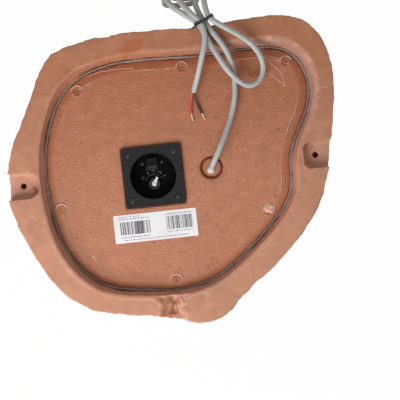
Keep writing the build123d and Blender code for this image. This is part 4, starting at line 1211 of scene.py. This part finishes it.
def lay_lines(name, paths, width, sway, ground, slot, material):
    """Thin uneven threads of paint along paths seen from above, laid on a piece."""
    solid = solid_tree(ground)
    picks = Random(3)
    curve = round_curve(name, 1)
    for path in paths:
        points = []
        for x, y in walk(path, 1.2):
            above = Vector((x + picks.uniform(-sway, sway), y + picks.uniform(-sway, sway), 400)) * MM
            points.append(solid.ray_cast(above, -UP)[0])
        add_spline(curve, "POLY", points, [width / 2 * MM * picks.uniform(0.4, 1.0) for _ in points])
    declare(link(name, curve), slot, material)


def torn_edges(paths):
    """Short ragged curls strewn along paths."""
    picks = Random(8)
    curls = []
    for path in paths:
        for point in walk(path, 1.0):
            start = point + Vector((picks.gauss(0, 0.9), picks.gauss(0, 0.9)))
            turn = picks.uniform(0, 2 * pi)
            curl = [start]
            for _ in range(3):
                turn += picks.uniform(-0.8, 0.8)
                curl.append(curl[-1] + Vector((cos(turn), sin(turn))) * picks.uniform(0.4, 1.0))
            curls.append(curl)
    return curls


def make_lumps(materials):
    """Blobs of sealant over a screw and at the cable's root, and a lump of paint in the left pocket."""
    dot = surface("sealant_dot", DOT_COLOUR, rough=0.4, spread=0.08, patch=200.0)
    root = surface("sealant_root", SEALANT_COLOUR, rough=0.35, spread=0.06, patch=200.0)
    rows = [
        ("sealant_dot", (113.0, -53.0, 279.2), (7.0, 6.6, 2.0), "seal_grey", dot),
        ("sealant_root", (45.5, 2.5, 280.4), (5.0, 4.6, 2.6), "seal_grey", root),
        ("paint_lump", (-176.0, 0.0, 287.0), (4.2, 3.4, 3.2), "rock_paint", materials["rock_paint"]),
    ]
    for name, at, half, slot, material in rows:
        bm = bmesh.new()
        bmesh.ops.create_icosphere(bm, subdivisions=4, radius=1.0)
        for vertex in bm.verts:
            bulge = 1 + 0.3 * speckle(vertex.co + Vector(at), 1.4, 3)
            vertex.co = Vector((a + size * bulge * c for a, size, c in zip(at, half, vertex.co))) * MM
        declare(finish_mesh(name, bm, 80.0), slot, material)


# Prints


def flat_text(bm, words, size, place):
    """Letters laid flat at a place."""
    curve = bpy.data.curves.new("words", "FONT")
    curve.body = words
    curve.size = size
    curve.align_x = "CENTER"
    curve.align_y = "CENTER"
    letters = link("words", curve)
    mesh = evaluated(letters)
    mesh.transform(place)
    bm.from_mesh(mesh)
    bpy.data.objects.remove(letters)


def flat_bar(bm, place, low, high):
    """Flat rectangle between two corners in millimetres."""
    corners = [(low[0], low[1]), (high[0], low[1]), (high[0], high[1]), (low[0], high[1])]
    bm.faces.new([bm.verts.new(place @ Vector((x * MM, y * MM, 0))) for x, y in corners])


def make_dial():
    """Scale of numbers round the selector, and a box with the two line voltages."""
    bm = bmesh.new()
    hub = Matrix.Translation(Vector((*HUB_AT_MM, DIAL_LEVEL_MM)) * MM)
    for words, turn in DIAL_NUMBERS.items():
        place = hub @ Matrix.Rotation(radians(turn), 4, "Z")
        flat_text(bm, words, DIAL_LETTERS, place @ Matrix.Translation((0, DIAL_RADIUS, 0)))
        flat_bar(bm, place, *DIAL_TICK_MM)
    for turn in range(-DIAL_SPAN, DIAL_SPAN, DIAL_PITCH):
        flat_bar(bm, hub @ Matrix.Rotation(radians(turn + DIAL_PITCH / 2), 4, "Z"), *DIAL_DASH_MM)
    box = hub @ Matrix.Translation(VOLTAGE_AT)
    flat_text(bm, "70V 25V", VOLTAGE_LETTERS, box)
    x, y = VOLTAGE_BOX_MM
    inner_x, inner_y = x - VOLTAGE_LINE_MM, y - VOLTAGE_LINE_MM
    flat_bar(bm, box, (-x, inner_y), (x, y))
    flat_bar(bm, box, (-x, -y), (x, -inner_y))
    flat_bar(bm, box, (-x, -inner_y), (-inner_x, inner_y))
    flat_bar(bm, box, (inner_x, -inner_y), (x, inner_y))
    ink = surface("dial_ink", DIAL_INK, rough=0.6, spread=0.1, patch=400.0)
    declare(to_piece("dial_print", bm), "pointer_white", ink)


def make_label_print():
    """Blocks of plain bars and broken lines on the label."""
    picks = Random(11)
    bm = bmesh.new()
    place = Matrix.Translation(Vector((*LABEL_AT_MM, LABEL_LEVEL_MM)) * MM)
    for left, right, low, high in LABEL_BARS_MM:
        x = left
        while x < right:
            dense = LABEL_DENSE_MM[0] < x < LABEL_DENSE_MM[1]
            wide = picks.choice((0.9, 1.3, 1.8) if dense else (0.45, 0.6, 0.8, 1.2))
            flat_bar(bm, place, (x, low), (min(x + wide, right), high))
            x += wide + picks.choice((0.3, 0.4) if dense else (0.45, 0.7, 1.3))
    for left, right, y, tall in LABEL_LINES_MM:
        x = left
        while x < right:
            wide = picks.uniform(0.8, 2.4)
            flat_bar(bm, place, (x, y - tall / 2), (min(x + wide, right), y + tall / 2))
            x += wide + picks.uniform(0.5, 1.2)
    ink = surface("label_ink", LABEL_INK, rough=0.5, spread=0.15, patch=300.0)
    declare(to_piece("label_print", bm), "label_white", ink)


make_camera()
for name, lamp in LAMPS.items():
    make_lamp(name, *lamp)
make_world()
make_floor()
finishes = make_materials()
dress_nodes(finishes)

cable = make_cable(finishes)
conductors = make_conductors(finishes)
tie = make_tie(finishes)

seal = seal_loop()
rock = make_rock(finishes, seal)
plate = make_plate(finishes, seal, make_screws(finishes))
make_seal(finishes, seal)
pale_paint = surface("pale_paint", shade(PAINT_PALE, 0.95), rough=0.7, spread=0.08, patch=150.0)
lay_lines("plate_scratches", SCRATCHES_MM, 1.1, 0.35, plate, "plate_paint", pale_paint)
lay_lines("rim_seam", SEAM_MM, 0.9, 0.5, rock, "rock_paint", pale_paint)
lay_lines("notch_fibres", torn_edges(FIBRES_MM), 0.8, 0.2, rock, "rock_paint", pale_paint)
make_lumps(finishes)
make_dial()
make_label_print()
for name, width in EDGES.items():
    soften(name, width)

bpy.context.scene.view_settings.view_transform = "Standard"
